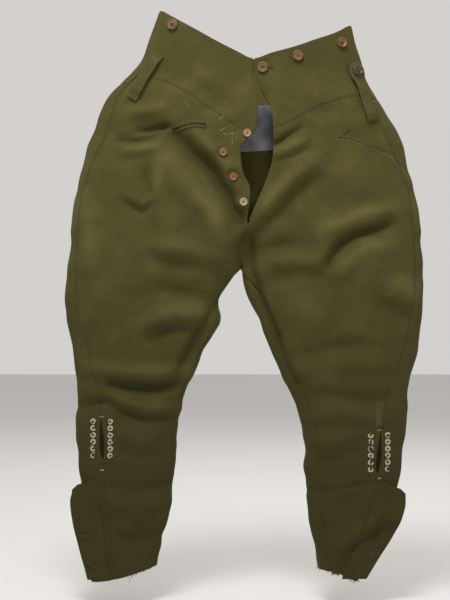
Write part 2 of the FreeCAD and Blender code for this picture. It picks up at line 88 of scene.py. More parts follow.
# Edges across the garment are (x, height).
TOP_FRONT = [(-146, 104), (-116, 85), (-82, 65), (-45, 44), (-14, 28), (14, 16), (46, 26),
             (88, 38), (121, 50), (153, 62), (184, 80)]
TOP_BACK = [(-146, 104), (-130, 94), (-112, 75), (-50, 26), (-15, -2), (12, -24), (40, 0),
            (80, 30), (135, 54), (168, 71), (184, 80)]
YOKE_SEAM_FRONT = [(-270, -12), (-155, -17), (-104, -39), (-47, -78), (12, -108), (60, -98),
                   (121, -66), (178, -48), (270, -42)]
YOKE_SEAM_BACK = [(-270, -12), (-150, -34), (0, -74), (150, -56), (270, -42)]
HEM = {RIGHT: [(-290, -872), (-262, -870), (-200, -858), (-140, -838)],
       LEFT: [(120, -848), (160, -854), (190, -868), (230, -872)]}
FLAP_EDGE = [(60, 16), (0, 16), (-40, 29), (-65, 42), (-108, 47), (-160, 44), (-215, 24),
             (FLY_FOOT_Z, 5)]
BUTTON_EDGE = [(60, 13), (-20, 12), (-66, 22), (-108, 14), (-138, -8), (-175, -4), (-205, 8),
               (FLY_FOOT_Z, 3)]
# Where the left front that folds open joins the rest, from the foot of the fly up.
FLAP_JOIN = [(-262, 5), (-200, 48), (-100, 90), (70, 152)]


# ---- the shape of the garment -----------------------------------------------------
def smooth(points, at):
    """The value of a smooth curve through (position, value) points, level past its ends."""
    p = np.array(sorted(points), float)
    xs, ys = p[:, 0], p[:, 1]
    steps = np.diff(xs)
    slopes = np.diff(ys) / steps
    turn = slopes[:-1] * slopes[1:] > 0
    inner = np.where(turn, (slopes[:-1] + slopes[1:]) / 2, 0.0)
    tangents = np.concatenate(([slopes[0]], inner, [slopes[-1]]))
    at = np.clip(np.asarray(at, float), xs[0], xs[-1])
    i = np.clip(np.searchsorted(xs, at, side="right") - 1, 0, len(steps) - 1)
    h = steps[i]
    t = (at - xs[i]) / h
    return ((1 + 2 * t) * (1 - t) ** 2 * ys[i] + t * (1 - t) ** 2 * h * tangents[i]
            + t * t * (3 - 2 * t) * ys[i + 1] + t * t * (t - 1) * h * tangents[i + 1])


def ease(t):
    t = np.clip(t, 0.0, 1.0)
    return t * t * (3 - 2 * t)


def half_of(side, z):
    outer, inner = smooth(OUTER_EDGE[side], z), smooth(INSEAM[side], z)
    return (outer + inner) / 2, np.abs(outer - inner) / 2


def bulge(share):
    """How full a cross-section is, from 1 in the middle to 0 at its edge."""
    return (1 - np.minimum(1.0, np.abs(share)) ** ROUND) ** (1 / ROUND)


def fullness(side, x, z):
    """The share of the half depth at an x: one flat tube above, a tube for each leg below."""
    right, left = smooth(OUTER_EDGE[RIGHT], z), smooth(OUTER_EDGE[LEFT], z)
    as_trunk = bulge((2 * x - right - left) / (left - right))
    middle, half = half_of(side, z)
    as_leg = bulge((x - middle) / half)
    leg = ease((z - LEGS_PART_Z) / (CROTCH_Z - LEGS_PART_Z))
    return as_trunk * (1 - leg) + as_leg * leg


def angle_at(side, x, z):
    """The angle round one half at which the front has a given x: 90 at the outer edge."""
    middle, half = half_of(side, z)
    share = np.clip((x - middle) * side / half, -1.0, 1.0)
    return np.degrees(np.arctan2(share, bulge(share)))


def side_seam_x(side, z, inset=0.0):
    return smooth(OUTER_EDGE[side], z) - side * (smooth(SIDE_SEAM_IN, z) + inset)


def inseam_x(side, z, inset=0.0):
    below = np.clip((CROTCH_Z - z) / 60.0, 0.0, 1.0)
    return smooth(INSEAM[side], z) + side * (inset + INSEAM_IN[side] * below)


def groin_line(x):
    return CROTCH_Z - 5 + HIP_RISE * np.abs(x + 8) / 295.0


def leg_split(x):
    """Between the bends at the hip and the knee, where a leg's pieces meet unseen."""
    return (groin_line(x) - GROIN_LENGTH + KNEE_Z + KNEE_LENGTH / 2) / 2


def left_join_x(z):
    return np.where(z > FLAP_JOIN[0][0], smooth(FLAP_JOIN, z), inseam_x(LEFT, z))


def flap_edge_x(z, inset=0.0):
    return smooth(FLAP_EDGE, z) + inset


def button_edge_x(z, inset=0.0):
    open_edge = smooth(BUTTON_EDGE, z)
    return np.where(z > FLY_FOOT_Z, open_edge, inseam_x(RIGHT, z)) - inset


def slit_x(side):
    return side_seam_x(side, SLIT_TOP_Z[side] - 45.0)


# Buttons as (x, height, how far round one the cloth lies flat), front and back.
BRACE_FRONT = [(-122, 74), (162, 44)]
FLAP_BRACE = (88, 20)
BRACE_BACK = [(-62, 14), (86, 14)]
WAIST_BUTTON, TAB_BUTTON = (29, 0), (185, -4)
FLY_BUTTONS = [(3, -111), (-37, -143), (-20, -184), (-3, -226)]
ANKLE_BUTTONS_Z = (-728, -760, -790, -818, -842)
FLAT_PLACES = {
    FRONT: [(x, z, 8) for x, z in BRACE_FRONT + [FLAP_BRACE, WAIST_BUTTON, TAB_BUTTON]]
    + [(x, z, 6) for x, z in FLY_BUTTONS],
    BACK: [(x, z, 8) for x, z in BRACE_BACK]
    + [(float(smooth(OUTER_EDGE[side], z)) - side * 26, z, 5)
       for side in (RIGHT, LEFT) for z in ANKLE_BUTTONS_Z],
}


# ---- folds -------------------------------------------------------------------------
# Each fold is (depth, width, points): a valley if the depth is negative, along (x, height).
FRONT_FOLDS = [
    (-20, 15, [(-119, -112), (-86, -145), (-54, -176), (-30, -216), (-10, -258)]),
    (9, 18, [(-150, -140), (-104, -190), (-64, -238), (-38, -290)]),
    (7, 12, [(-84, -112), (-44, -150), (-14, -205)]),
    (-13, 6, [(-130, -97), (-146, -101), (-166, -105), (-184, -106)]),
    (-6, 11, [(-138, -88), (-160, -92), (-186, -96)]),
    (6, 10, [(-142, -66), (-170, -70), (-196, -74)]),
    (-7, 6, [(-136, -100), (-145, -113), (-164, -121), (-190, -124), (-211, -121)]),
    (8, 9, [(-146, -132), (-172, -138), (-206, -140)]),
    (-6, 6, [(-204, -223), (-186, -236), (-172, -242), (-160, -232)]),
    (4, 8, [(-204, -212), (-172, -228), (-152, -214)]),
    (-6, 8, [(-165, -168), (-168, -190), (-160, -212)]),
    (5, 8, [(-146, -168), (-144, -190), (-150, -214)]),
    (-9, 12, [(-160, -458), (-134, -440), (-112, -434), (-83, -438)]),
    (8, 15, [(-170, -430), (-120, -410), (-76, -416)]),
    (-15, 9, [(-226, -531), (-196, -537), (-150, -539), (-116, -532)]),
    (10, 13, [(-262, -502), (-200, -510), (-140, -512), (-104, -510)]),
    (8, 12, [(-250, -550), (-214, -560), (-163, -574), (-116, -574)]),
    (-8, 8, [(-279, -573), (-250, -562), (-231, -560), (-212, -573), (-172, -590),
             (-134, -588)]),
    (-6, 14, [(-40, -350), (-90, -334), (-150, -324)]),
    (6, 15, [(-40, -320), (-100, -300), (-170, -298)]),
    (-6, 15, [(-56, -396), (-100, -380), (-160, -372)]),
    (7, 18, [(-276, -180), (-268, -260), (-256, -340)]),
    (-14, 9, [(140, -330), (152, -308), (166, -292), (186, -280), (214, -270), (238, -262)]),
    (12, 15, [(128, -280), (152, -266), (180, -254), (214, -246), (244, -240)]),
    (9, 15, [(156, -346), (176, -320), (206, -304), (246, -300)]),
    (-9, 16, [(236, -396), (258, -404), (282, -422)]),
    (7, 18, [(250, -360), (274, -376), (290, -400)]),
    (-10, 14, [(8, -290), (46, -254), (84, -216), (120, -186)]),
    (7, 14, [(6, -262), (44, -222), (80, -184), (110, -160)]),
    (-5, 14, [(14, -312), (60, -300), (100, -300)]),
    (-6, 14, [(30, -362), (84, -346), (140, -356)]),
    (6, 16, [(30, -334), (84, -318), (128, -328)]),
    (-9, 6, [(40, -134), (54, -127), (74, -114), (92, -104)]),
    (7, 8, [(40, -148), (70, -138), (100, -122)]),
    (-4, 6, [(60, -156), (84, -146), (104, -140)]),
    (-4, 5, [(104, -716), (153, -711), (182, -704), (228, -696)]),
    (7, 12, [(160, -808), (190, -784), (228, -754)]),
    (-8, 10, [(176, -812), (200, -792), (228, -776)]),
    (-6, 13, [(94, -560), (140, -548), (200, -560), (256, -556)]),
    (6, 14, [(106, -590), (160, -575), (226, -590)]),
    (-5, 12, [(110, -480), (180, -462), (246, -478)]),
    (4, 14, [(90, -505), (170, -490), (240, -505)]),
    (-4, 11, [(-244, -700), (-190, -714), (-126, -705)]),
    (4, 12, [(-244, -724), (-190, -742), (-126, -735)]),
    (-4, 11, [(-225, -784), (-190, -798), (-146, -790)]),
    (-4, 11, [(-232, -640), (-180, -656), (-122, -650)]),
    (3, 13, [(-230, -612), (-180, -622), (-122, -616)]),
    (-4, 13, [(100, -650), (150, -662), (210, -640)]),
    (4, 14, [(100, -622), (150, -628), (200, -614)]),
    (-4, 14, [(86, -56), (120, -70), (150, -66)]),
    (-12, 9, [(4, -290), (9, -340), (25, -392), (46, -444), (64, -492), (84, -530)]),
    (-10, 9, [(-54, -408), (-70, -436), (-87, -466), (-117, -520)]),
    (5, 8, [(-50, -430), (-70, -466), (-98, -520)]),
    (4, 16, [(-120, 20), (-70, -10), (-30, -40)]),
    (-5, 14, [(-140, -4), (-100, -16), (-60, -40), (-40, -62)]),
]
BACK_FOLDS = [
    (-12, 17, [(10, -300), (80, -240), (150, -200)]),
    (-12, 17, [(-20, -300), (-90, -245), (-160, -205)]),
    (9, 17, [(14, -272), (90, -206), (170, -170)]),
    (9, 17, [(-24, -272), (-100, -210), (-180, -176)]),
    (-9, 17, [(20, -340), (100, -306), (200, -296)]),
    (-9, 17, [(-30, -340), (-110, -306), (-210, -290)]),
    (-12, 13, [(-250, -530), (-180, -542), (-104, -530)]),
    (-12, 13, [(84, -530), (160, -547), (256, -530)]),
    (9, 16, [(-246, -500), (-180, -510), (-96, -500)]),
    (9, 16, [(76, -500), (160, -512), (256, -500)]),
    (-7, 14, [(-234, -420), (-150, -440), (-66, -425)]),
    (-7, 14, [(56, -425), (150, -440), (244, -420)]),
    (-7, 12, [(-240, -650), (-180, -662), (-126, -640)]),
    (-7, 12, [(116, -640), (180, -664), (250, -650)]),
    (6, 13, [(-236, -612), (-180, -624), (-120, -606)]),
    (6, 13, [(108, -606), (180, -626), (250, -612)]),
    (-5, 12, [(-236, -760), (-190, -772), (-140, -756)]),
    (-5, 12, [(122, -756), (180, -774), (226, -760)]),
]
RIPPLE_SEED = 7
RIPPLE_COUNT = 26


def along(points, x, z):
    """Distance from a line of points, and how far along it (0 to 1), for arrays of places."""
    p = np.array(points, float)
    lengths = np.linalg.norm(np.diff(p, axis=0), axis=1)
    total, passed = lengths.sum(), 0.0
    best = np.full(np.shape(x), 1e9)
    share = np.zeros(np.shape(x))
    for a, b, length in zip(p, p[1:], lengths):
        d = (b - a) / length
        t = np.clip((x - a[0]) * d[0] + (z - a[1]) * d[1], 0, length)
        gap = np.hypot(x - a[0] - t * d[0], z - a[1] - t * d[1])
        nearer = gap < best
        best = np.where(nearer, gap, best)
        share = np.where(nearer, (passed + t) / total, share)
        passed += length
    return best, share


def ripples(x, z):
    """Small waves all over, as on worn wool: a fixed sum of slanting sines."""
    draw = np.random.default_rng(RIPPLE_SEED)
    height = np.zeros(np.shape(x))
    for _ in range(RIPPLE_COUNT):
        wave, heading, phase = draw.uniform(26, 120), draw.uniform(0, math.pi), draw.uniform(0, 6.3)
        k = 2 * math.pi / wave
        height = height + 0.0052 * wave * np.sin(
            k * (x * math.cos(heading) + z * math.sin(heading)) + phase)
    return height


def relief(x, z, facing):
    """How far the cloth stands out of its smooth shape, at places on the front or the back."""
    folds = FRONT_FOLDS if facing == FRONT else BACK_FOLDS
    height = ripples(x * facing, z + 40 * facing)
    for depth, width, points in folds:
        gap, share = along(points, x, z)
        fade = np.sin(np.pi * np.clip(0.12 + 0.76 * share, 0, 1)) ** 0.6
        height = height + depth * fade * np.exp(-(gap / width) ** 2)
    height = height * (0.25 + 0.75 * ease((30 - z) / 120))
    for bx, bz, reach in FLAT_PLACES[facing]:
        height = height * ease((np.hypot(x - bx, z - bz) - reach) / 12)
    for side in (RIGHT, LEFT):
        away_x = np.abs(x - slit_x(side)) - EYELET_ROWS_APART / 2 - EYELET_R
        away_z = np.abs(z - SLIT_TOP_Z[side] + SLIT_LENGTH / 2) - SLIT_LENGTH / 2
        height = height * ease(np.maximum(away_x, away_z) / 14)
    return height


def seat_sag(x, z):
    """How far the seat, with nobody in it, falls forward behind the open fly."""
    gap, _ = along([(26, -92), (22, -130), (14, -190), (2, -240)], x, z)
    return 52 * np.exp(-(gap / 58) ** 2) * ease((z - CROTCH_Z) / 60)


# ---- surfaces ------------------------------------------------------------------------
class Face:
    """The front or back of the garment, located by x and height."""
    step = 0.8

    def __init__(self, facing, side=None):
        self.facing = self.turn = facing
        self.side = side

    def smooth_point(self, x, z):
        centre = smooth(CENTRE_LINE, z)
        if self.side is None:
            full = np.where(x < centre, fullness(RIGHT, x, z), fullness(LEFT, x, z))
        else:
            own, other = fullness(self.side, x, z), fullness(-self.side, x, z)
            crossed = ((x - centre) * self.side < 0) & (z > CROTCH_Z)
            full = np.where(crossed, other, own)
        y = self.facing * smooth(HALF_DEPTH, z) * full
        return np.stack([x, y - seat_sag(x, z) if self.facing == BACK else y, z], -1)

    def relief(self, x, z):
        return relief(x, z, self.facing)


class Round:
    """All the way round one half, by angle and height: -90 at the inseam or centre front,
    90 at the outer edge and 270 at the inseam or centre back."""
    step = 1.2

    def __init__(self, side):
        self.side = side
        self.turn = -side

    def smooth_point(self, angle, z):
        middle, half = half_of(self.side, z)
        across, ahead = np.sin(np.radians(angle)), np.cos(np.radians(angle))
        size = (np.abs(across) ** ROUND + np.abs(ahead) ** ROUND) ** (1 / ROUND)
        x = middle + self.side * half * across / size
        facing = np.where(ahead >= 0, FRONT, BACK)
        y = facing * smooth(HALF_DEPTH, z) * fullness(self.side, x, z)
        return np.stack([x, y - seat_sag(x, z) * (facing == BACK), z], -1)

    def relief(self, angle, z):
        x = self.smooth_point(angle, z)[..., 0]
        front = ease(1 + 2 * np.cos(np.radians(angle)))
        front = front * np.where(angle > 180, ease((CROTCH_Z - z) / 60), 1)
        return relief(x, z, FRONT) * front + relief(x, z, BACK) * (1 - front)


def unit(v):
    return v / np.maximum(np.linalg.norm(v, axis=-1, keepdims=True), 1e-9)


def outward(surface, u, z):
    """The direction out of the smooth shape."""
    across = surface.smooth_point(u + surface.step, z) - surface.smooth_point(u - surface.step, z)
    up = surface.smooth_point(u, z + 2) - surface.smooth_point(u, z - 2)
    normal = unit(np.cross(up, across) * surface.turn)
    if isinstance(surface, Round):
        x = surface.smooth_point(u, z)[..., 0]
        flat_front, flat_back = outward(Face(FRONT), x, z), outward(Face(BACK), x, z)
        trunk = ((u < 45) | (u > 135)) & (z > CROTCH_Z)
        flat = np.where((u < 90)[..., None], flat_front, flat_back)
        normal = np.where(trunk[..., None], flat, normal)
    return normal


def skin(surface, u, z, lift=0.0):
    """A place on the outside of the cloth, folds and all."""
    u, z = np.asarray(u, float), np.asarray(z, float)
    height = surface.relief(u, z) + lift
    return surface.smooth_point(u, z) + outward(surface, u, z) * height[..., None]


# ---- cloth meshes ------------------------------------------------------------------------
EDGE_ROLL = 1.6              # how far from its edge a piece of cloth starts to round over
SEAM_DIPS, SEAM_REACH = {"seam": 1.6, "faint": 0.5}, 3.2
NEAR_EDGE = (0.0, 0.25, 0.8, 1.6, 2.8, 4.6, 7.2)
BEYOND = 2.0                 # how far past its edges a piece is worked out, for its normals


def spread(length, first, last, step):
    """Shares of a length, close together beside a seam or free edge, with one place past
    each end."""
    start = list(NEAR_EDGE) if first != "plain" else [0.0]
    end = [length - d for d in reversed(NEAR_EDGE)] if last != "plain" else [length]
    count = max(2, int(round((end[0] - start[-1]) / step)))
    middle = list(np.linspace(start[-1], end[0], count + 1)[1:-1])
    places = start + middle + end
    before = places[0] - places[1] if first == "plain" else -BEYOND
    after = 2 * length - places[-2] if last == "plain" else length + BEYOND
    return np.array([before] + places + [after]) / length


def run(points, axis):
    """Distance along a grid of points, from its first real place."""
    steps = np.linalg.norm(np.diff(points, axis=axis), axis=-1)
    lead = np.zeros_like(np.take(steps, [0], axis=axis))
    total = np.cumsum(np.concatenate([lead, steps], axis=axis), axis=axis)
    return total - np.take(total, [1], axis=axis)


def grid_normals(p):
    return unit(np.cross(np.gradient(p, axis=0), np.gradient(p, axis=1)))


class Cloth:
    """A piece of cloth on a surface, from a start line to an end line (functions of height)
    and from a bottom to a top (functions of x)."""

    def __init__(self, surface, start, end, bottom, top, width, height, edges, step=5.0,
                 lift=0.0, depth=CLOTH, folds=1.0):
        """edges says seam, faint, free or plain for (start, end, bottom, top)."""
        i, j = np.meshgrid(spread(width, *edges[:2], step), spread(height, *edges[2:], step),
                           indexing="ij")
        z = np.full(i.shape, float(bottom(np.zeros(1))[0] + top(np.zeros(1))[0]) / 2)
        for _ in range(14):
            u = start(z) + i * (end(z) - start(z))
            x = surface.smooth_point(u, z)[..., 0]
            z = bottom(x) + j * (top(x) - bottom(x))
        u = start(z) + i * (end(z) - start(z))
        self.base = surface.smooth_point(u, z)
        self.real = self.base[1:-1, 1:-1]
        across, down = run(self.base, 0), run(self.base, 1)
        gaps = across, across[-2:-1] - across, down, down[:, -2:-1] - down
        rise = surface.relief(u, z) * folds + lift
        for edge, gap in zip(edges, gaps):
            if edge in SEAM_DIPS:
                rise = rise - SEAM_DIPS[edge] * np.exp(-(gap / SEAM_REACH) ** 2)
        normal = outward(surface, u, z)
        middle = self.base + normal * (rise - depth / 2)[..., None]
        out = grid_normals(middle)
        self.sign = 1 if (out * normal).sum() > 0 else -1
        out = out * self.sign
        half = np.full(z.shape, depth / 2)
        for edge, gap in zip(edges, gaps):
            if edge != "plain":
                near = np.clip(gap / (0.7 if edge == "faint" else EDGE_ROLL), 0, 1)
                half = np.minimum(half, depth / 2 * np.sqrt(1 - (1 - near) ** 2) + 0.04)
        self.outer = middle + out * half[..., None]
        self.inner = middle - out * half[..., None]
        self.uv = np.stack([across[-2:-1] - across, z], -1)
        # how far the cloth stands out of its shape, which the serge turns into painted highlight on
        # ridges and painted shade in hollows
        self.tone = rise - lift

    def flat(self):
        """The size it was cut to and its flat area, in metres."""
        p = self.real
        quads = np.cross(p[1:, 1:] - p[:-1, :-1], p[1:, :-1] - p[:-1, 1:])
        area = float(np.linalg.norm(quads, axis=-1).sum()) / 2 * MM * MM
        width = float(run(self.base, 0)[-2].max()) * MM
        length = float(run(self.base, 1)[:, -2].max()) * MM
        return (max(width, area / length), length), area

    def mesh(self, name, material, slot):
        ni, nj = self.real.shape[:2]
        index = np.arange(ni * nj).reshape(ni, nj)
        a, b, c, d = (k.ravel() for k in (index[:-1, :-1], index[1:, :-1], index[1:, 1:],
                                          index[:-1, 1:]))
        outer = np.stack([a, b, c, d], 1)
        inner = outer[:, ::-1] + ni * nj
        rim = np.concatenate([index[:, 0], index[-1, 1:], index[-2::-1, -1], index[0, -2:0:-1]])
        after = np.roll(rim, -1)
        rims = np.stack([after, rim, rim + ni * nj, after + ni * nj], 1)
        faces = np.concatenate([outer, inner, rims])
        if self.sign < 0:
            faces = faces[:, ::-1]
        keep = (slice(1, -1), slice(1, -1))
        points = [self.outer[keep], self.inner[keep]]
        normals = [grid_normals(self.outer)[keep] * self.sign,
                   -grid_normals(self.inner)[keep] * self.sign]
        stack = [np.concatenate([g.reshape(-1, 3) for g in grids]) for grids in (points, normals)]
        uv = np.concatenate([self.uv[keep].reshape(-1, 2)] * 2) * MM
        tone = np.concatenate([self.tone[keep].ravel()] * 2)
        obj = new_mesh(name, stack[0] * MM, faces, material, stack[1], uv)
        # how far the cloth stands out, for the serge's painted highlight and painted shade
        layer = obj.data.attributes.new("stand", "FLOAT", "POINT")
        layer.data.foreach_set("value", tone.astype(np.float32))
        return obj


def new_mesh(name, points, faces, material, normals=None, uv=None):
    mesh = bpy.data.meshes.new(name)
    mesh.from_pydata([tuple(p) for p in points], [], [tuple(int(k) for k in f) for f in faces])
    if uv is not None:
        layer = mesh.uv_layers.new(name="UVMap")
        loops = np.zeros(len(mesh.loops), int)
        mesh.loops.foreach_get("vertex_index", loops)
        layer.data.foreach_set("uv", np.asarray(uv)[loops].ravel())
    mesh.shade_smooth()
    if normals is not None:
        mesh.normals_split_custom_set_from_vertices([tuple(n) for n in normals])
    obj = bpy.data.objects.new(name, mesh)
    bpy.context.scene.collection.objects.link(obj)
    mesh.materials.append(material)
    return obj


# ---- small things: straps, stitches, threads -----------------------------------------------
def stance(surface, u, z, lift=0.0):
    """Places on the outside of the cloth, folds and all, and the way out of it there."""
    u, z = np.asarray(u, float), np.asarray(z, float)
    across = skin(surface, u + 1.2, z) - skin(surface, u - 1.2, z)
    up = skin(surface, u, z + 1.5) - skin(surface, u, z - 1.5)
    normal = unit(np.cross(up, across) * surface.turn)
    return skin(surface, u, z, lift), normal


def even(points, step):
    """Evenly spaced points along a line of points, with its ends kept."""
    p = np.array(points, float)
    lengths = np.linalg.norm(np.diff(p, axis=0), axis=1)
    at = np.concatenate([[0], np.cumsum(lengths)])
    want = np.linspace(0, at[-1], max(2, int(round(at[-1] / step)) + 1))
    return np.stack([np.interp(want, at, p[:, k]) for k in range(p.shape[1])], 1)


class Build:
    """Collects small closed shapes into one mesh."""

    def __init__(self):
        self.points, self.faces, self.count = [], [], 0

    def tube(self, centres, outs, half_widths, half_depths, sides=8, power=2.0):
        """A closed bar along points, with its flat side facing outs."""
        centres = np.asarray(centres, float)
        n = len(centres)
        along_it = unit(np.gradient(centres, axis=0))
        across = unit(np.cross(along_it, outs))
        up = unit(np.cross(across, along_it))
        turn = np.linspace(0, 2 * math.pi, sides, endpoint=False)
        c, s = np.cos(turn), np.sin(turn)
        c = np.sign(c) * np.abs(c) ** (2 / power)
        s = np.sign(s) * np.abs(s) ** (2 / power)
        wide = np.broadcast_to(half_widths, (n,))
        deep = np.broadcast_to(half_depths, (n,))
        rings = (centres[:, None] + across[:, None] * (wide[:, None] * c)[..., None]
                 + up[:, None] * (deep[:, None] * s)[..., None])
        index = np.arange(n * sides).reshape(n, sides) + self.count
        following = np.roll(index, -1, axis=1)
        body = np.stack([index[:-1], index[1:], following[1:], following[:-1]], -1).reshape(-1, 4)
        self.faces += body.tolist()
        first, last = self.count + n * sides, self.count + n * sides + 1
        self.faces += [[first, a, b] for a, b in zip(index[0], following[0])]
        self.faces += [[last, b, a] for a, b in zip(index[-1], following[-1])]
        self.points += [rings.reshape(-1, 3), centres[:1], centres[-1:]]
        self.count += n * sides + 2

    def thread(self, points, radius, sides=5):
        """A round thread, finer at its ends."""
        points = np.asarray(points, float)
        radii = np.full(len(points), radius)
        radii[[0, -1]] = radius * 0.45
        outs = np.tile([0.31, -0.81, 0.5], (len(points), 1))
        self.tube(points, outs, radii, radii, sides)

    def bars(self, centres, outs, radii, sides):
        """Many short round bars at once: centres is bars by places by 3."""
        n, k = centres.shape[:2]
        way = unit(centres[:, -1] - centres[:, 0])
        across = unit(np.cross(way, outs))
        up = np.cross(across, way)
        turn = np.linspace(0, 2 * math.pi, sides, endpoint=False)
        ring = (across[:, None] * np.cos(turn)[:, None] + up[:, None] * np.sin(turn)[:, None])
        rings = centres[:, :, None] + ring[:, None] * np.reshape(radii, (-1, k, 1, 1))
        points = np.concatenate([rings.reshape(n, -1, 3), centres[:, :1], centres[:, -1:]], 1)
        index = np.arange(k * sides).reshape(k, sides)
        following = np.roll(index, -1, axis=1)
        quads = np.stack([index[:-1], index[1:], following[1:], following[:-1]],
                         -1).reshape(-1, 4)
        first, last = k * sides, k * sides + 1
        caps = ([[first, a, b] for a, b in zip(index[0], following[0])]
                + [[last, b, a] for a, b in zip(index[-1], following[-1])])
        for j in range(n):
            base = self.count + j * (k * sides + 2)
            self.faces += (quads + base).tolist()
            self.faces += [[q + base for q in cap] for cap in caps]
        self.points.append(points.reshape(-1, 3))
        self.count += n * (k * sides + 2)

    def stitches(self, surface, line, pitch=4.6, length=2.9, radius=0.34, lift=0.12,
                 slant=0.0):
        """Stitches along a line of (u, height) places on the cloth."""
        spots = even(line, pitch)
        p, out = stance(surface, spots[:, 0], spots[:, 1], lift)
        way = unit(np.gradient(p, axis=0))
        way = unit(way + np.cross(way, out) * slant)
        centres = np.stack([p + way * length * s + out * h
                            for s, h in ((-0.5, -0.35), (-0.3, 0.0), (0.3, 0.0), (0.5, -0.35))],
                           1)
        self.bars(centres, out, radius * np.array([0.5, 1, 1, 0.5]), 6)

    def strap(self, surface, line, half_width, half_depth, lift=0.0, step=3.0, power=3.5,
              ends=0.35):
        """A flat band along (u, height) places, with lift the height of its middle."""
        spots = even(line, step)
        lifts = np.broadcast_to(lift, (len(spots),)) if np.ndim(lift) == 0 else np.interp(
            np.linspace(0, 1, len(spots)), np.linspace(0, 1, len(lift)), lift)
        p, out = stance(surface, spots[:, 0], spots[:, 1])
        wide = np.interp(np.linspace(0, 1, len(spots)), np.linspace(0, 1, np.size(half_width)),
                         np.atleast_1d(half_width))
        deep = np.full(len(spots), half_depth, float)
        deep[[0, -1]] *= ends
        self.tube(p + out * np.asarray(lifts)[:, None], out, wide, deep, 16, power)

    def make(self, name, material, slot, body=None):
        obj = new_mesh(name, np.concatenate(self.points) * MM, self.faces, material)
        if body:
            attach(obj, body)
        return obj


# ---- materials -------------------------------------------------------------------------------
class Mat:
    """A procedural material, mapped along the cloth in metres."""

    def __init__(self, name, mapping="UV"):
        self.material = bpy.data.materials.new(name)
        self.material.use_nodes = True
        self.nodes, self.links = self.material.node_tree.nodes, self.material.node_tree.links
        self.bsdf = self.nodes["Principled BSDF"]
        self.where = self.nodes.new("ShaderNodeTexCoord").outputs[mapping]

    def put(self, socket, value):
        if hasattr(value, "is_linked"):
            self.links.new(value, socket)
        else:
            socket.default_value = value

    def noise(self, scale, detail=3.0, rough=0.55, stretch=(1, 1, 1), turn=0.0):
        mapping = self.nodes.new("ShaderNodeMapping")
        mapping.inputs["Scale"].default_value = stretch
        mapping.inputs["Rotation"].default_value = (0, 0, turn)
        self.links.new(self.where, mapping.inputs["Vector"])
        node = self.nodes.new("ShaderNodeTexNoise")
        self.links.new(mapping.outputs[0], node.inputs["Vector"])
        for key, value in (("Scale", scale), ("Detail", detail), ("Roughness", rough)):
            node.inputs[key].default_value = value
        return node.outputs["Fac"]

    def waves(self, pitch, turn, waver=0.0):
        """Parallel ribs a pitch apart."""
        mapping = self.nodes.new("ShaderNodeMapping")
        mapping.inputs["Rotation"].default_value = (0, 0, turn)
        self.links.new(self.where, mapping.inputs["Vector"])
        node = self.nodes.new("ShaderNodeTexWave")
        self.links.new(mapping.outputs[0], node.inputs["Vector"])
        node.inputs["Scale"].default_value = 0.314 / pitch
        node.inputs["Distortion"].default_value = waver
        node.inputs["Detail Scale"].default_value = 1.5
        return node.outputs["Fac"]

    def math(self, operation, a, b):
        node = self.nodes.new("ShaderNodeMath")
        node.operation = operation
        self.put(node.inputs[0], a)
        self.put(node.inputs[1], b)
        return node.outputs[0]

    def ramp(self, value, low, high, start=0.0, end=1.0):
        """A value moved from low..high to start..end, held at its ends."""
        node = self.nodes.new("ShaderNodeMapRange")
        self.put(node.inputs["Value"], value)
        for key, number in (("From Min", low), ("From Max", high), ("To Min", start),
                            ("To Max", end)):
            node.inputs[key].default_value = number
        return node.outputs["Result"]

    def mix(self, share, a, b, blend="MIX"):
        node = self.nodes.new("ShaderNodeMix")
        node.data_type = "RGBA"
        node.blend_type = blend
        self.put(node.inputs["Factor"], share)
        for socket, value in ((node.inputs[6], a), (node.inputs[7], b)):
            self.put(socket, value if hasattr(value, "is_linked") else (*value, 1.0))
        return node.outputs[2]

    def attribute(self, name):
        node = self.nodes.new("ShaderNodeAttribute")
        node.attribute_name = name
        return node.outputs["Fac"]

    def split(self):
        node = self.nodes.new("ShaderNodeSeparateXYZ")
        self.links.new(self.where, node.inputs[0])
        return node.outputs

    def bump(self, height, distance, strength=1.0, normal=None):
        node = self.nodes.new("ShaderNodeBump")
        node.inputs["Strength"].default_value = strength
        node.inputs["Distance"].default_value = distance
        self.links.new(height, node.inputs["Height"])
        if normal is not None:
            self.links.new(normal, node.inputs["Normal"])
        return node.outputs[0]

    def finish(self, colour, roughness=0.9, normal=None, **fixed):
        self.put(self.bsdf.inputs["Base Color"], colour)
        self.put(self.bsdf.inputs["Roughness"], roughness)
        if normal is not None:
            self.links.new(normal, self.bsdf.inputs["Normal"])
        for key, value in fixed.items():
            self.bsdf.inputs[key.replace("_", " ").capitalize()
                             if key not in SOCKETS else SOCKETS[key]].default_value = value
        return self.material


SOCKETS = {"sheen": "Sheen Weight", "sheen_roughness": "Sheen Roughness",
           "sheen_tint": "Sheen Tint", "specular": "Specular IOR Level",
           "coat": "Coat Weight", "coat_roughness": "Coat Roughness"}


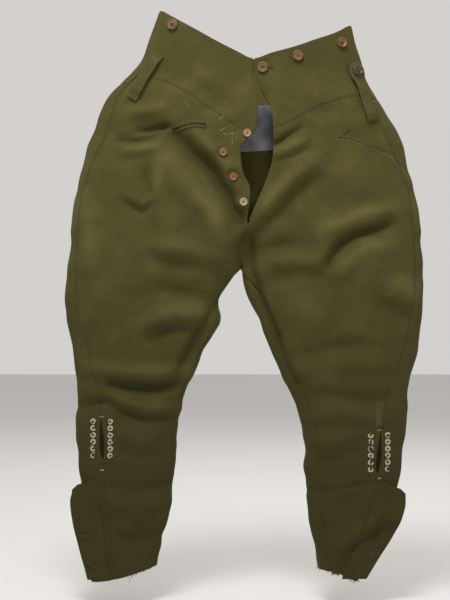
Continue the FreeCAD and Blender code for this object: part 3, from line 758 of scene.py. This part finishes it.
def serge(name, deep, body, pale, mapping="UV"):
    """Wool twill: steep diagonal ribs and a fuzzy nap; mapped along the cloth, it also gets a
    painted highlight on fold ridges, painted shade in fold hollows and painted shade growing
    towards the hem.
    """
    m = Mat(name, mapping)
    ribs = m.waves(0.0021, math.radians(-27), 0.6)
    yarn = m.noise(1400, 2, stretch=(1, 2.6, 1))
    nap = m.noise(520, 4, 0.7)
    pills = m.noise(170, 3, 0.6)
    blotch = m.noise(16, 4, 0.6)
    broad = m.noise(5, 3, 0.5)
    colour = m.mix(m.ramp(nap, 0.26, 0.60), deep, body)
    colour = m.mix(m.ramp(blotch, 0.46, 0.78, 0.0, 0.34), colour, pale)
    colour = m.mix(m.ramp(broad, 0.52, 0.34, 0.0, 0.22), colour, deep)
    colour = m.mix(m.ramp(ribs, 0.0, 0.6, 0.22, 0.0), colour, deep)
    if mapping == "UV":
        # painted highlight on fold ridges and painted shade in fold hollows, from how far the cloth
        # stands out
        stand = m.attribute("stand")
        colour = m.mix(m.ramp(stand, 1.0, 9.0, 0.0, 0.34), colour, pale)
        colour = m.mix(m.ramp(stand, -1.0, -12.0, 0.0, 0.6), colour, deep)
        # painted shade: darker towards the hem, for the light falling off down the legs
        low = m.ramp(m.split()[1], -0.36, -0.68, 0.0, 0.86)
        colour = m.mix(low, colour, deep)
    height = m.math("ADD", m.math("MULTIPLY", ribs, 0.5), m.math("MULTIPLY", yarn, 0.35))
    fine = m.bump(m.math("ADD", height, m.math("MULTIPLY", nap, 0.5)), 0.0007, 0.75)
    normal = m.bump(pills, 0.0016, 0.5, fine)
    return m.finish(colour, m.ramp(nap, 0.3, 0.7, 0.88, 0.97), normal, sheen=0.08,
                    sheen_roughness=0.5, sheen_tint=(0.62, 0.58, 0.32, 1), specular=0.06)


def cotton(name, dark, light, pitch=0.0009, mapping="UV"):
    """Plain or sateen lining with a fine weave, faded and creased."""
    m = Mat(name, mapping)
    weave = m.math("MULTIPLY", m.waves(pitch, 0.0, 0.3), m.waves(pitch, math.pi / 2, 0.3))
    fade = m.noise(30, 5, 0.6)
    streak = m.noise(240, 3, 0.6, stretch=(1, 0.12, 1))
    colour = m.mix(m.ramp(fade, 0.35, 0.7), dark, light)
    colour = m.mix(m.ramp(streak, 0.35, 0.75, 0.0, 0.35), colour, dark)
    height = m.math("ADD", weave, m.math("MULTIPLY", streak, 0.6))
    return m.finish(colour, m.ramp(fade, 0.3, 0.7, 0.62, 0.8), m.bump(height, 0.0004, 0.6),
                    sheen=0.1, specular=0.3)


def horn(name, dark, light, roughness):
    """Button material: streaked, with fine scratches and dirt in the dish."""
    m = Mat(name, "Object")
    streaks = m.noise(420, 4, 0.6, stretch=(1, 0.3, 0.35))
    clouds = m.noise(150, 3, 0.5)
    scratches = m.noise(2600, 2, 0.6, stretch=(1, 0.05, 1), turn=0.6)
    colour = m.mix(m.ramp(streaks, 0.35, 0.68), dark, light)
    colour = m.mix(m.ramp(clouds, 0.55, 0.75, 0.0, 0.5), colour, dark)
    rough = m.ramp(scratches, 0.4, 0.7, roughness, roughness + 0.2)
    return m.finish(colour, rough, m.bump(streaks, 0.0003, 0.4), specular=0.45)


def yarn(name, dark, light):
    """Sewing thread: twisted plies, a little dirty."""
    m = Mat(name, "Object")
    plies = m.noise(1500, 3, 0.6)
    dirt = m.noise(90, 4, 0.6)
    colour = m.mix(m.ramp(dirt, 0.4, 0.62), light, dark)
    return m.finish(colour, 0.85, m.bump(plies, 0.0005, 0.8), specular=0.2)


SERGE = serge("serge", (0.036, 0.032, 0.011), (0.084, 0.076, 0.0215), (0.150, 0.136, 0.047))
# a darker copy of the serge: painted shade for the lace facings and gussets, which are seen only in
# the shadow of the calf slits
SHADED_SERGE = serge("olive_twill", (0.012, 0.011, 0.005), (0.026, 0.023, 0.010), (0.04, 0.036, 0.018))
SERGE_TRIM = serge("serge_trim", (0.038, 0.033, 0.012), (0.086, 0.077, 0.024),
                   (0.14, 0.126, 0.048), "Object")
SLATE = cotton("grey_lining", (0.15, 0.15, 0.17), (0.34, 0.34, 0.36))
KHAKI = cotton("khaki_facing", (0.07, 0.062, 0.034), (0.14, 0.125, 0.078))
BROWN_HORN = horn("brown_button", (0.06, 0.028, 0.012), (0.24, 0.125, 0.05), 0.34)
OLIVE_THREAD = yarn("olive_thread", (0.045, 0.038, 0.018), (0.12, 0.102, 0.05))
FRAY = yarn("fray", (0.03, 0.026, 0.011), (0.085, 0.075, 0.032))
MEND = yarn("mending_thread", (0.16, 0.145, 0.08), (0.36, 0.33, 0.21))
TAB_HORN = horn("dark_button", (0.022, 0.014, 0.008), (0.11, 0.068, 0.034), 0.32)
# dark sewing thread on buttons, and painted shade: dark strips standing in for the open buttonhole
# slits and pocket mouths
DARK_THREAD_AND_SLIT_SHADE = yarn("dark_thread_and_slit_shade", (0.012, 0.010, 0.006), (0.035, 0.03, 0.018))


def fly_horn():
    """The fly buttons are odd ones: tan, brown, reddish and pale, from the top down."""
    m = Mat("fly_buttons", "Object")
    streaks = m.noise(420, 4, 0.6, stretch=(1, 0.3, 0.35))
    height = m.split()[2]
    colour = m.mix(m.ramp(height, -0.126, -0.127), (0.40, 0.25, 0.10), (0.22, 0.115, 0.045))
    colour = m.mix(m.ramp(height, -0.163, -0.164), colour, (0.24, 0.075, 0.03))
    colour = m.mix(m.ramp(height, -0.205, -0.206), colour, (0.46, 0.36, 0.20))
    colour = m.mix(m.ramp(streaks, 0.35, 0.68, 0.55, 0.0), colour, (0.07, 0.035, 0.015))
    return m.finish(colour, m.ramp(streaks, 0.3, 0.7, 0.32, 0.5), m.bump(streaks, 0.0003, 0.4),
                    specular=0.45)


def worn_bone():
    """Buttonhole thread on the eyelets: worked in short bars, and rubbed away in places."""
    m = Mat("worn_eyelet_thread", "Object")
    worn = m.noise(115, 2, 0.5)
    bars = m.noise(1300, 2, 0.6)
    colour = m.mix(m.ramp(bars, 0.35, 0.65), (0.23, 0.20, 0.125), (0.50, 0.455, 0.32))
    colour = m.mix(m.ramp(worn, 0.53, 0.58), colour, (0.05, 0.044, 0.018))
    return m.finish(colour, 0.85, m.bump(bars, 0.0006, 0.9), specular=0.2)


FLY_HORN, WORN_BONE = fly_horn(), worn_bone()


# ---- the pieces ------------------------------------------------------------------------------
# The slanting line the front flap folds open on, as (start, end).
FLAP_BEND = ((0.0945, 0, -0.034), (0.0706, 0, -0.0245))


def level(z):
    return lambda x: np.full(np.shape(x), float(z))


def upright(x):
    return lambda z: np.full(np.shape(z), float(x))


def edge(points, rise=0.0):
    return lambda x: smooth(points, x) + rise


def hung(name, cloth, material, slot, replaces, body=None):
    obj = cloth.mesh(name, material, slot)
    if body:
        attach(obj, body)
    else:
        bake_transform(obj)
    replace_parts(obj, *replaces)
    flat, area = cloth.flat()
    return obj


def seam_angle(side, gap=0.0):
    """The side seam, where the back begins, as an angle."""
    return lambda z: angle_at(side, side_seam_x(side, z, gap), z)


def slit_gap(side, z):
    """Half the width that the calf slit stands open: widest near its foot."""
    share = np.clip((SLIT_TOP_Z[side] - z) / SLIT_LENGTH, 0, 1)
    return 4.2 * np.sin(math.pi * share ** 1.6) ** 0.7


def leg_end(side):
    """Where the back ends, as an angle: at the centre seam above, and below the crotch round
    the inside of the leg to the inseam on the front."""
    def angle(z):
        low = np.minimum(z, CROTCH_Z)
        return 360 + angle_at(side, inseam_x(side, low), low)
    return angle


def trunk_and_legs(name, side):
    front, back = Face(FRONT, side), Round(side)
    inner = button_edge_x if side == RIGHT else left_join_x
    inner_edge = "free" if side == RIGHT else "plain"
    seam = lambda z: side_seam_x(side, z)
    trunk_front = Face(FRONT)
    hung(f"{name}_front_yoke",
         Cloth(trunk_front, inner, seam, edge(YOKE_SEAM_FRONT), edge(TOP_FRONT), 165, 90,
               (inner_edge, "plain", "faint", "free"), 4.0), SERGE, "serge",
         [f"{name}_front_yoke"], body="trunk")
    hung(f"{name}_front",
         Cloth(trunk_front, inner, seam, level(CROTCH_Z),
               edge(YOKE_SEAM_FRONT), 260, 270, (inner_edge, "seam", "plain", "faint"), 4.4),
         SERGE, "serge", [f"{name}_front_hip"])
    hung(f"{name}_front_thigh_cloth",
         Cloth(front, lambda z: inseam_x(side, z), seam, leg_split, level(CROTCH_Z), 280, 90,
               ("seam", "seam", "plain", "plain"), 4.4),
         SERGE, "serge", [f"{name}_front_groin", f"{name}_front_thigh"])
    hung(f"{name}_front_calf_cloth",
         Cloth(front, lambda z: inseam_x(side, z),
               lambda z: side_seam_x(side, z) - side * slit_gap(side, z), edge(HEM[side]),
               leg_split, 170, 440, ("faint", "faint", "free", "plain"), 4.4),
         SERGE, "serge", [f"{name}_front_knee", f"{name}_front_calf"])
    hung(f"{name}_back_yoke",
         Cloth(back, seam_angle(side), upright(270), edge(YOKE_SEAM_BACK), edge(TOP_BACK),
               190, 90, ("plain", "seam", "faint", "free"), 4.6), SERGE, "serge",
         [f"{name}_back_yoke"], body="trunk")
    hung(f"{name}_back",
         Cloth(back, seam_angle(side), leg_end(side), leg_split, edge(YOKE_SEAM_BACK), 330, 380,
               ("seam", "seam", "plain", "faint"), 5.2), SERGE, "serge",
         [f"{name}_back_hip", f"{name}_back_groin", f"{name}_back_thigh"])
    hung(f"{name}_back_calf_cloth",
         Cloth(back, lambda z: angle_at(side, side_seam_x(side, z) + side * slit_gap(side, z), z),
               leg_end(side), edge(HEM[side]), leg_split, 220, 440,
               ("faint", "faint", "free", "plain"), 5.2), SERGE, "serge",
         [f"{name}_back_knee", f"{name}_back_calf"])
    under = -CLOTH - 0.9
    hung(f"{name}_back_lining",
         Cloth(back, upright(100), upright(266), edge(YOKE_SEAM_BACK, -62), edge(TOP_BACK, -8),
               180, 150, ("free",) * 4, 6.0, lift=under, depth=LINING, folds=1.0),
         SLATE, "grey_lining", [f"{name}_back_lining"], body="trunk")


class Wrap(Face):
    """The ankle flap, lying over the front of the calf and past its outer edge."""

    def smooth_point(self, x, z):
        limit = smooth(OUTER_EDGE[self.side], z) - self.side * 16
        x_skin = np.where(self.side * (x - limit) > 0, limit, x)
        on_skin = super().smooth_point(x_skin, z)
        (top, x_top), (foot, x_foot) = FLAP_SEAM[self.side]
        from_seam = self.side * (x - x_top - (x_foot - x_top) * (z - top) / (foot - top))
        rise = 2.0 + (CLOTH - 0.8) * ease((from_seam - FOLD_GAP) / 14)
        return np.stack([x, on_skin[..., 1] - rise, z], -1)

    def relief(self, x, z):
        limit = smooth(OUTER_EDGE[self.side], z) - self.side * 16
        past = np.clip(self.side * (x - limit) / 24, 0, 1)
        return relief(x - past * (x - limit), z, FRONT) - 2.5 * past ** 2 * np.sin(z / 23)


# The ankle flap: the line it is sewn on and its free outline, each (height, x).
FLAP_SEAM = {RIGHT: [(-690, -250), (-864, -224)], LEFT: [(-697, 230), (-862, 160)]}
FLAP_FREE = {RIGHT: [(-716, -293), (-730, -296), (-753, -294), (-801, -284), (-868, -266)],
             LEFT: [(-716, 272), (-731, 272), (-753, 267), (-777, 258), (-825, 228),
                    (-868, 202)]}
FLAP_DROP, FOLD_GAP = 16.0, 3.4
POCKET_MOUTHS = {
    "right": [(-123, -104), (-104, -98), (-84, -95), (-66, -97)],
    "left": [(158, -118), (186, -124), (214, -134), (240, -142)],
}
POCKET_DEPTH = {"right": 62, "left": 70}
GAP = 0.9                    # between two layers


def linings():
    face, under = Face(FRONT), -CLOTH - GAP
    free, flap = ("free",) * 4, ("trunk", "front_flap", FLAP_BEND)
    yoke_foot, top = edge(YOKE_SEAM_FRONT, 4), edge(TOP_FRONT, -6)
    hung("right_front_lining",
         Cloth(face, lambda z: button_edge_x(z, 26), lambda z: side_seam_x(RIGHT, z, 14),
               yoke_foot, top, 130, 80, free, 6, under, LINING),
         SLATE, "grey_lining", ["right_front_lining"], body="trunk")
    hung("left_front_lining",
         Cloth(face, left_join_x, lambda z: side_seam_x(LEFT, z, 14), yoke_foot, top, 90, 80,
               ("plain", "free", "free", "free"), 6, under, LINING),
         SLATE, "grey_lining", ["left_front_lining"], body="trunk")
    hung("front_flap_lining",
         Cloth(face, lambda z: flap_edge_x(z, 36), left_join_x, yoke_foot, top, 70, 80,
               ("free", "plain", "free", "free"), 6, under, LINING),
         SLATE, "grey_lining", ["front_flap_lining"])
    hung("fly_facing",
         Cloth(face, lambda z: flap_edge_x(z, 2), lambda z: flap_edge_x(z, 20), level(-222),
               edge(YOKE_SEAM_FRONT, -4), 18, 120, free, 5, under, LINING),
         KHAKI, "olive_twill", ["fly_facing"])
    hung("waist_underlap",
         Cloth(face, upright(2), upright(50), level(-62), edge(TOP_FRONT, -1), 48, 76, free,
               5, under + 0.4),
         SERGE, "serge", ["waist_underlap"], body="trunk")
    hung("fly_button_stand",
         Cloth(face, lambda z: button_edge_x(z, 20), lambda z: button_edge_x(z, 2),
               level(FLY_FOOT_Z + 8), edge(YOKE_SEAM_FRONT, -4), 18, 150, free, 5, under,
               LINING),
         KHAKI, "olive_twill", ["fly_button_stand"], body="trunk")
    for name, mouth in POCKET_MOUTHS.items():
        middle = (mouth[0][1] + mouth[-1][1]) / 2
        hung(f"{name}_pocket_bag",
             Cloth(face, upright(mouth[0][0]), upright(mouth[-1][0]),
                   level(middle - POCKET_DEPTH[name]), level(middle - 6), 60, 60, free, 5,
                   under, LINING * 2),
             KHAKI, "olive_twill", [f"{name}_pocket_bag"], body="trunk")


def front_flap():
    """The left front that folds open on a slanting line, with the waist buttonhole."""
    face, flap = Face(FRONT), ("trunk", "front_flap", FLAP_BEND)
    hung("front_flap_yoke",
         Cloth(face, flap_edge_x, left_join_x, edge(YOKE_SEAM_FRONT), edge(TOP_FRONT), 90, 100,
               ("free", "plain", "faint", "free"), 3.6),
         SERGE, "serge", ["front_flap_yoke", "waist_buttonhole"])
    hung("front_flap_fly",
         Cloth(face, flap_edge_x, left_join_x, level(-256), edge(YOKE_SEAM_FRONT), 46, 150,
               ("free", "plain", "plain", "faint"), 3.6),
         SERGE, "serge", ["front_flap_fly"])


def ankles(name, side):
    calf, face = f"{name}_calf", Face(FRONT, side)
    (top, x_top), (foot, x_foot) = FLAP_SEAM[side]

    def seam_line(z):
        return x_top + (x_foot - x_top) * (z - top) / (foot - top) + side * FOLD_GAP

    def top_edge(x):
        share = np.clip((x - x_top) / (smooth(FLAP_FREE[side], top - FLAP_DROP) - x_top), 0, 1)
        return top - FLAP_DROP * share - 5 * np.clip(share - 0.8, 0, 1) / 0.2

    hung(f"{name}_ankle_flap",
         Cloth(Wrap(FRONT, side), seam_line, lambda z: smooth(FLAP_FREE[side], z), level(foot),
               top_edge, 52, 160, ("faint", "free", "free", "free"), 3.4),
         SERGE, "serge", [f"{name}_ankle_flap"], body=f"{name}_ankle_flap")
    x, half = slit_x(side), EYELET_ROWS_APART / 2
    slit_top, slit_foot = SLIT_TOP_Z[side], SLIT_TOP_Z[side] - SLIT_LENGTH
    # the lace facing and the gusset take the darker serge: painted shade for the inside of the slit
    hung(f"{name}_lace_facing",
         Cloth(face, upright(x - half - 8), upright(x + half + 8), level(slit_foot - 5),
               level(slit_top + 5), 45, 80, ("free",) * 4, 5, -CLOTH - 0.6, LINING),
         SHADED_SERGE, "olive_twill", [f"{name}_lace_facing"], body=calf)
    hung(f"{name}_slit_gusset",
         Cloth(face, upright(x - 9), upright(x + 9), level(slit_foot - 5), level(slit_top + 5),
               18, 80, ("free",) * 4, 5, -CLOTH - LINING - 2.4, LINING),
         SHADED_SERGE, "olive_twill", [f"{name}_slit_gusset"], body=calf)


# ---- straps, welts and sewing -------------------------------------------------------------------
LOOP_ENDS = {"right": ((-144, 25), (-191, -53)), "tab": ((181, 10), (213, -90))}
BACK_LOOPS_X, BACK_LOOP_ENDS_Z = (-95, 120), (30, -62)
LOOP_HALF_WIDTH, BELT_GAP, LOOP_SEWN_LIFT = 9.5, 6.0, 1.9


def belt_loops():
    low, high = LOOP_SEWN_LIFT + CLOTH / 2, BELT_GAP + CLOTH / 2
    arch = [low, low, high] + [high] * 6 + [high, low, low]
    right = Build()
    right.strap(Face(FRONT), LOOP_ENDS["right"], LOOP_HALF_WIDTH, CLOTH / 2, arch)
    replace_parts(right.make("right_belt_loop", SERGE_TRIM, "serge", "trunk"), "right_belt_loop")
    backs = Build()
    for x in BACK_LOOPS_X:
        backs.strap(Face(BACK), [(x, z) for z in BACK_LOOP_ENDS_Z], LOOP_HALF_WIDTH, CLOTH / 2,
                    arch)
    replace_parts(backs.make("back_belt_loops", SERGE_TRIM, "serge", "trunk"), "back_belt_loops")
    tab = Build()
    tab.strap(Face(FRONT), LOOP_ENDS["tab"], [7, 13.5, 14.5, 13.5, 10.5, 9.5] + [9.5] * 8,
              CLOTH / 2, [high] * 9 + [low])
    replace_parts(tab.make("left_belt_tab", SERGE_TRIM, "serge", "belt_tab"), "left_belt_tab",
                "belt_tab_buttonhole")
    sewing = Build()
    for at in (0.03, 0.97):
        (x0, z0), (x1, z1) = LOOP_ENDS["right"]
        x, z = x0 + at * (x1 - x0), z0 + at * (z1 - z0)
        sewing.stitches(Face(FRONT), [(x - 8, z - 4.8), (x + 8, z + 4.8)], 3.2, 2.3, 0.35,
                        low + CLOTH / 2)
    sewing.make("loop_stitches", OLIVE_THREAD, "serge", "trunk")


def pocket_welts():
    face = Face(FRONT)
    for name, mouth in POCKET_MOUTHS.items():
        welt = Build()
        above = [(x, z + 3.6) for x, z in mouth]
        below = [(x, z - 3.4) for x, z in mouth]
        if name == "right":
            welt.strap(face, above, [1.5, 3.4, 3.4, 3.2, 1.5], 1.5, 1.3)
            welt.strap(face, below, [1.5, 2.4, 2.4, 2.2, 1.5], 1.2, 0.9)
        else:
            welt.strap(face, above, [2.0, 3.4, 3.4, 3.4, 2.0], 0.9, 0.3)
        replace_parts(welt.make(f"{name}_pocket_welt", SERGE_TRIM, "serge", "trunk"),
                    f"{name}_pocket_welt")
        # a dark strip along the pocket mouth: painted shade for its opening
        slot = Build()
        if name == "right":
            slot.strap(face, [(x, z - 0.4) for x, z in mouth], [1.0, 3.2, 3.0, 2.2, 1.4, 0.5],
                       0.7, 0.9)
        else:
            slot.strap(face, [(158, -119), (167, -111), (177, -103)], [0.5, 2.0, 1.6, 1.0, 0.4],
                       0.6, 0.4)
        slot.make(f"{name}_pocket_mouth_shade", DARK_THREAD_AND_SLIT_SHADE, "olive_twill", "trunk")


def follow(line, top, foot, inset=0.0, step=12.0):
    """A line down the cloth, a distance in from an edge."""
    z = np.linspace(top, foot, max(3, int(abs(top - foot) / step)))
    return [(float(a) + inset, float(b)) for a, b in zip(line(z), z)]


def ridge(points, start, end, rise, step=10.0):
    """A line across the cloth, a distance above a seam or edge."""
    x = np.linspace(start, end, max(3, int(abs(start - end) / step)))
    return [(float(a), float(b) + rise) for a, b in zip(x, smooth(points, x))]


def sewing():
    front, back = Face(FRONT), Face(BACK)
    trunk, pale = Build(), Build()
    trunk.stitches(front, ridge(YOKE_SEAM_FRONT, -186, 8, 3.4))
    trunk.stitches(front, ridge(YOKE_SEAM_FRONT, 128, 204, 3.4))
    trunk.stitches(front, ridge(TOP_FRONT, -138, 10, -5))
    trunk.stitches(front, ridge(TOP_FRONT, 152, 178, -5))
    trunk.stitches(front, follow(button_edge_x, 8, -250, -5))
    trunk.stitches(back, ridge(YOKE_SEAM_BACK, -170, 186, 3.4))
    trunk.stitches(back, ridge(TOP_BACK, -130, 168, -5))
    trunk.stitches(front, [(-194, -141), (-170, -143), (-153, -140), (-141, -135),
                           (-133, -125)], lift=-0.05)
    pale.stitches(front, ridge(POCKET_MOUTHS["left"], 160, 240, -1.0) + [(250, -151), (262, -168)],
                  3.4, 2.8, 0.34, 0.15)
    trunk.stitches(front, [(-139, -105), (-110, -102), (-82, -101)], lift=0.2)
    trunk.make("trunk_stitching", OLIVE_THREAD, "serge", "trunk")
    for line in ([(-37, -82), (-44, -90)], [(-43, -86), (-35, -83)], [(-33, -102), (-42, -107)],
                 [(-37, -112), (-28, -113), (-21, -111)], [(-22, -112), (-22, -129)],
                 [(-101, -60), (-96, -64)], [(-286, -223), (-280, -221)]):
        pale.stitches(front, line, 2.2, 2.6, 0.36, 0.15, 0.6)
    pale.make("repair_stitches", MEND, "serge", "trunk")
    flap = Build()
    flap.stitches(front, follow(flap_edge_x, 10, -246, 5))
    flap.stitches(front, ridge(YOKE_SEAM_FRONT, 52, 82, 3.4))
    flap.stitches(front, ridge(TOP_FRONT, 20, 140, -5))
    bent(flap.make("flap_stitching", OLIVE_THREAD, "serge"))
    for name, side in SIDES.items():
        upper, lower, bars = Build(), Build(), Build()
        seam = lambda z: side_seam_x(side, z)
        own = Face(FRONT, side)
        upper.stitches(front, follow(seam, -30, -330, -side * 3.2))
        upper.stitches(own, follow(seam, -338, -372, -side * 3.2))
        bent(upper.make(f"{name}_side_stitching", OLIVE_THREAD, "serge"))
        top, foot = SLIT_TOP_Z[side], SLIT_TOP_Z[side] - SLIT_LENGTH
        lower.stitches(own, follow(seam, -376, top + 16, -side * 3.2))
        x = slit_x(side)
        for aside in (-1, 1):
            lower.stitches(own, follow(lambda z: x + aside * (4 + slit_gap(side, z)), top + 24,
                                       foot - 6), 3.4, 2.4)
            lower.stitches(own, follow(lambda z: x + aside * (EYELET_ROWS_APART / 2 + 7.5) + 0 * z,
                                       top - 2, foot + 2), 3.8, 2.6)
            lower.stitches(own, [(x + aside * (EYELET_ROWS_APART / 2 + 7.5), top), (x, top + 24)])
            lower.stitches(own, [(x + aside * 7, foot), (x + aside * 1, foot - 12)], 3.2, 2.2)
        bent(lower.make(f"{name}_calf_stitching", OLIVE_THREAD, "serge"))
        for z in (top + 2, foot - 17 if side == RIGHT else foot - 8):
            for k in range(3):
                bars.stitches(own, [(x - 2.2, z - k * 0.8), (x + 2.2, z - k * 0.8)], 2.2, 2.4,
                              0.4, 0.3)
        if side == LEFT:
            for aside in (-5, -1, 3):
                bars.stitches(own, [(x + aside, top + 10), (x + aside + 2, top + 46)], 4.6, 3.4,
                              0.26, 0.05)
        bars.make(f"{name}_slit_bartacks", MEND, "serge", f"{name}_calf")


def bent(obj):
    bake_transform(obj)
    return obj


def buttonholes():
    """Worked slits: raised thread round a dark strip, painted shade for the open slit."""
    for name, side in SIDES.items():
        wrap, worked, dark = Wrap(FRONT, side), Build(), Build()
        for z in ANKLE_BUTTONS_Z:
            free = float(smooth(FLAP_FREE[side], z))
            ends = free - side * 7, free - side * 20
            dark.strap(wrap, [(ends[0], z), (ends[1], z)], 0.4, 0.3, 0.0, 2.0)
            for aside in (-1.3, 1.3):
                worked.stitches(wrap, [(ends[0], z + aside), (ends[1], z + aside)], 1.25, 1.1,
                                0.5, 0.15)
        body = f"{name}_ankle_flap"
        worked.make(f"{name}_ankle_buttonholes", OLIVE_THREAD, "serge", body)
        dark.make(f"{name}_ankle_slit_shades", DARK_THREAD_AND_SLIT_SHADE, "serge", body)
    face, worked, dark = Face(FRONT), Build(), Build()
    dark.strap(face, [(34, -1), (47, 1)], 0.6, 0.35, 0.2, 2.0)
    for aside in (-1.4, 1.4):
        worked.stitches(face, [(36, -1 + aside), (47.5, 1 + aside)], 1.25, 1.1, 0.5, 0.2)
    for place, gap in (((62, -54), 5), ((55, -96), 5), ((52, -140), 5)):
        for aside in (-1.1, 1.1):
            worked.stitches(face, [(place[0], place[1] + aside), (place[0] + 13, place[1] + aside)],
                            1.5, 1.1, 0.4, -0.1)
    worked.make("waist_buttonhole_thread", OLIVE_THREAD, "serge", "front_flap")
    dark.make("waist_buttonhole_slit_shade", DARK_THREAD_AND_SLIT_SHADE, "serge", "front_flap")


def button_threads():
    """A cross or two bars of thread over each button's holes."""
    groups = [("brace_front_thread", "trunk", DARK_THREAD_AND_SLIT_SHADE, BRACE_FRONT, 9.0, 2.5, FRONT),
              ("brace_flap_thread", "front_flap", OLIVE_THREAD, [FLAP_BRACE], 9.0, 2.5, FRONT),
              ("brace_back_thread", "trunk", OLIVE_THREAD, BRACE_BACK, 9.0, 2.5, BACK),
              ("waist_thread", "trunk", DARK_THREAD_AND_SLIT_SHADE, [WAIST_BUTTON], 9.0, 2.0, FRONT),
              ("tab_thread", "trunk", OLIVE_THREAD, [TAB_BUTTON], 9.0, BELT_GAP + CLOTH + 2,
               FRONT),
              ("fly_thread", "trunk", OLIVE_THREAD, FLY_BUTTONS[:3], 6.8, 1.8, FRONT),
              ("fly_foot_thread", "trunk", DARK_THREAD_AND_SLIT_SHADE, FLY_BUTTONS[3:], 6.8, 1.8, FRONT)]
    for name, side in SIDES.items():
        places = [(float(smooth(OUTER_EDGE[side], z)) - side * 26, z) for z in ANKLE_BUTTONS_Z]
        groups.append((f"{name}_ankle_thread", f"{name}_calf", OLIVE_THREAD, places, 6.0, 1.5,
                       (BACK, side)))
    for name, body, material, places, radius, over, facing in groups:
        face = Face(*facing) if isinstance(facing, tuple) else Face(facing)
        threads = Build()
        for x, z in places:
            base = face.smooth_point(np.array(x, float), np.array(z, float))
            out = outward(face, np.array(x, float), np.array(z, float))
            across = unit(np.cross(out, np.array([0.0, 0.0, 1.0])))
            up = np.cross(across, out)
            floor = over + radius * 0.34 * 0.62
            holes = [base + out * floor + radius * 0.24 * (across * math.cos(a) + up * math.sin(a))
                     for a in np.radians([45, 135, 225, 315])]
            for first, second in ((0, 2), (1, 3)):
                a, b = holes[first], holes[second]
                line = [a - out * 0.8, a + out * 0.35, (a + b) / 2 + out * 0.6, b + out * 0.35,
                        b - out * 0.8]
                threads.thread(line, 0.42, 6)
        threads.make(name, material, "serge", body)


def frayed_hems():
    """Loose warp ends along the raw hems, and a long thread on each."""
    draw = np.random.default_rng(3)
    for name, side in SIDES.items():
        fray, own = Build(), Face(FRONT, side)
        count = 190 if side == LEFT else 120
        inseam, side_seam = lambda z: inseam_x(side, z), lambda z: side_seam_x(side, z)
        for surface, start, end in ((own, inseam, side_seam),
                                    (Round(side), seam_angle(side), leg_end(side))):
            share = draw.uniform(0.02, 0.98, count)
            z = np.full(count, float(HEM[side][0][0]))
            for _ in range(8):
                u = start(z) + share * (end(z) - start(z))
                z = smooth(HEM[side], surface.smooth_point(u, z)[..., 0])
            p, out = stance(surface, u, z + 1.2, -CLOTH * draw.uniform(0.2, 0.8, count))
            length = np.minimum(1.2 + draw.exponential(1.5 if side == LEFT else 0.9, count), 6.5)
            way = np.stack([draw.normal(0, 0.35, count), draw.normal(0, 0.3, count),
                            -np.ones(count)], -1)
            bend = np.stack([draw.normal(0, 0.5, count), draw.normal(0, 0.3, count),
                             np.zeros(count)], -1)
            centres = np.stack([p + (way + bend * t) * (length * t)[:, None]
                                for t in (0, 0.35, 0.7, 1.0)], 1)
            fray.bars(centres, out, np.array([0.3, 0.3, 0.24, 0.1]), 4)
        long_one = ([(-190, -850), (-191, -858), (-195, -864), (-198, -868)] if side == RIGHT
                    else [(176, -862), (181, -868), (183, -866), (188, -869)])
        y = float(own.smooth_point(np.array(float(long_one[0][0])), np.array(-850.0))[1])
        fray.thread([(x, y + k, z) for k, (x, z) in enumerate(long_one)], 0.32, 5)
        bent(fray.make(f"{name}_frayed_hem", FRAY, "serge"))


def dress_cad_nodes():
    """Buttons and eyelets keep their CAD shapes and get worn materials."""
    looks = {"brace_buttons_front": BROWN_HORN, "brace_buttons_back": BROWN_HORN,
             "flap_brace_button": BROWN_HORN, "waist_button": BROWN_HORN,
             "belt_tab_button": TAB_HORN, "fly_buttons": FLY_HORN,
             "right_ankle_buttons": BROWN_HORN, "left_ankle_buttons": BROWN_HORN,
             "right_lace_eyelets": WORN_BONE, "left_lace_eyelets": WORN_BONE}
    for node, material in looks.items():
        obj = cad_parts[node]
        for slot in obj.material_slots:
            slot.link = "OBJECT"
            slot.material = material


trunk_and_legs("right", RIGHT)
trunk_and_legs("left", LEFT)
front_flap()
linings()
ankles("right", RIGHT)
ankles("left", LEFT)
belt_loops()
pocket_welts()
sewing()
buttonholes()
button_threads()
frayed_hems()
dress_cad_nodes()


# ---- camera, light, floor ----------------------------------------------------------------------
def stage():
    bpy.ops.mesh.primitive_plane_add(size=14, location=(0, 0, -0.905))
    floor = bpy.context.object
    floor.name = "floor"
    plain = Mat("floor", "Object")
    tint = plain.mix(plain.noise(1.2, 2), (0.66, 0.64, 0.625), (0.70, 0.68, 0.66))
    floor.data.materials.append(plain.finish(tint, 0.85))
    world = bpy.data.worlds.new("studio")
    bpy.context.scene.world = world
    world.use_nodes = True
    world.node_tree.nodes["Background"].inputs["Color"].default_value = (0.86, 0.83, 0.815, 1)
    world.node_tree.nodes["Background"].inputs["Strength"].default_value = 0.76
    bpy.context.scene.view_settings.view_transform = "Standard"
    for name, place, energy, size in (("key", (-0.25, -0.95, 1.3), 27, 0.6),
                                      ("fill", (0.5, -2.6, 0.0), 9, 0.8),
                                      ("rim", (0.4, 1.7, 1.4), 24, 1.4)):
        light = bpy.data.lights.new(name, "AREA")
        light.energy, light.size = energy, size
        lamp = bpy.data.objects.new(name, light)
        lamp.location = place
        lamp.rotation_euler = (Vector((0, 0, -0.35)) - lamp.location).to_track_quat(
            "-Z", "Y").to_euler()
        bpy.context.scene.collection.objects.link(lamp)
    lens = bpy.data.cameras.new("camera")
    lens.sensor_fit = "VERTICAL"
    lens.sensor_height = 24
    lens.lens = 24 * 2.285 / 1.02
    camera = bpy.data.objects.new("camera", lens)
    camera.location = (-0.034, -2.30, -0.390)
    camera.rotation_euler = (math.pi / 2, 0, 0)
    bpy.context.scene.collection.objects.link(camera)
    bpy.context.scene.camera = camera


stage()
bpy.context.view_layer.update()
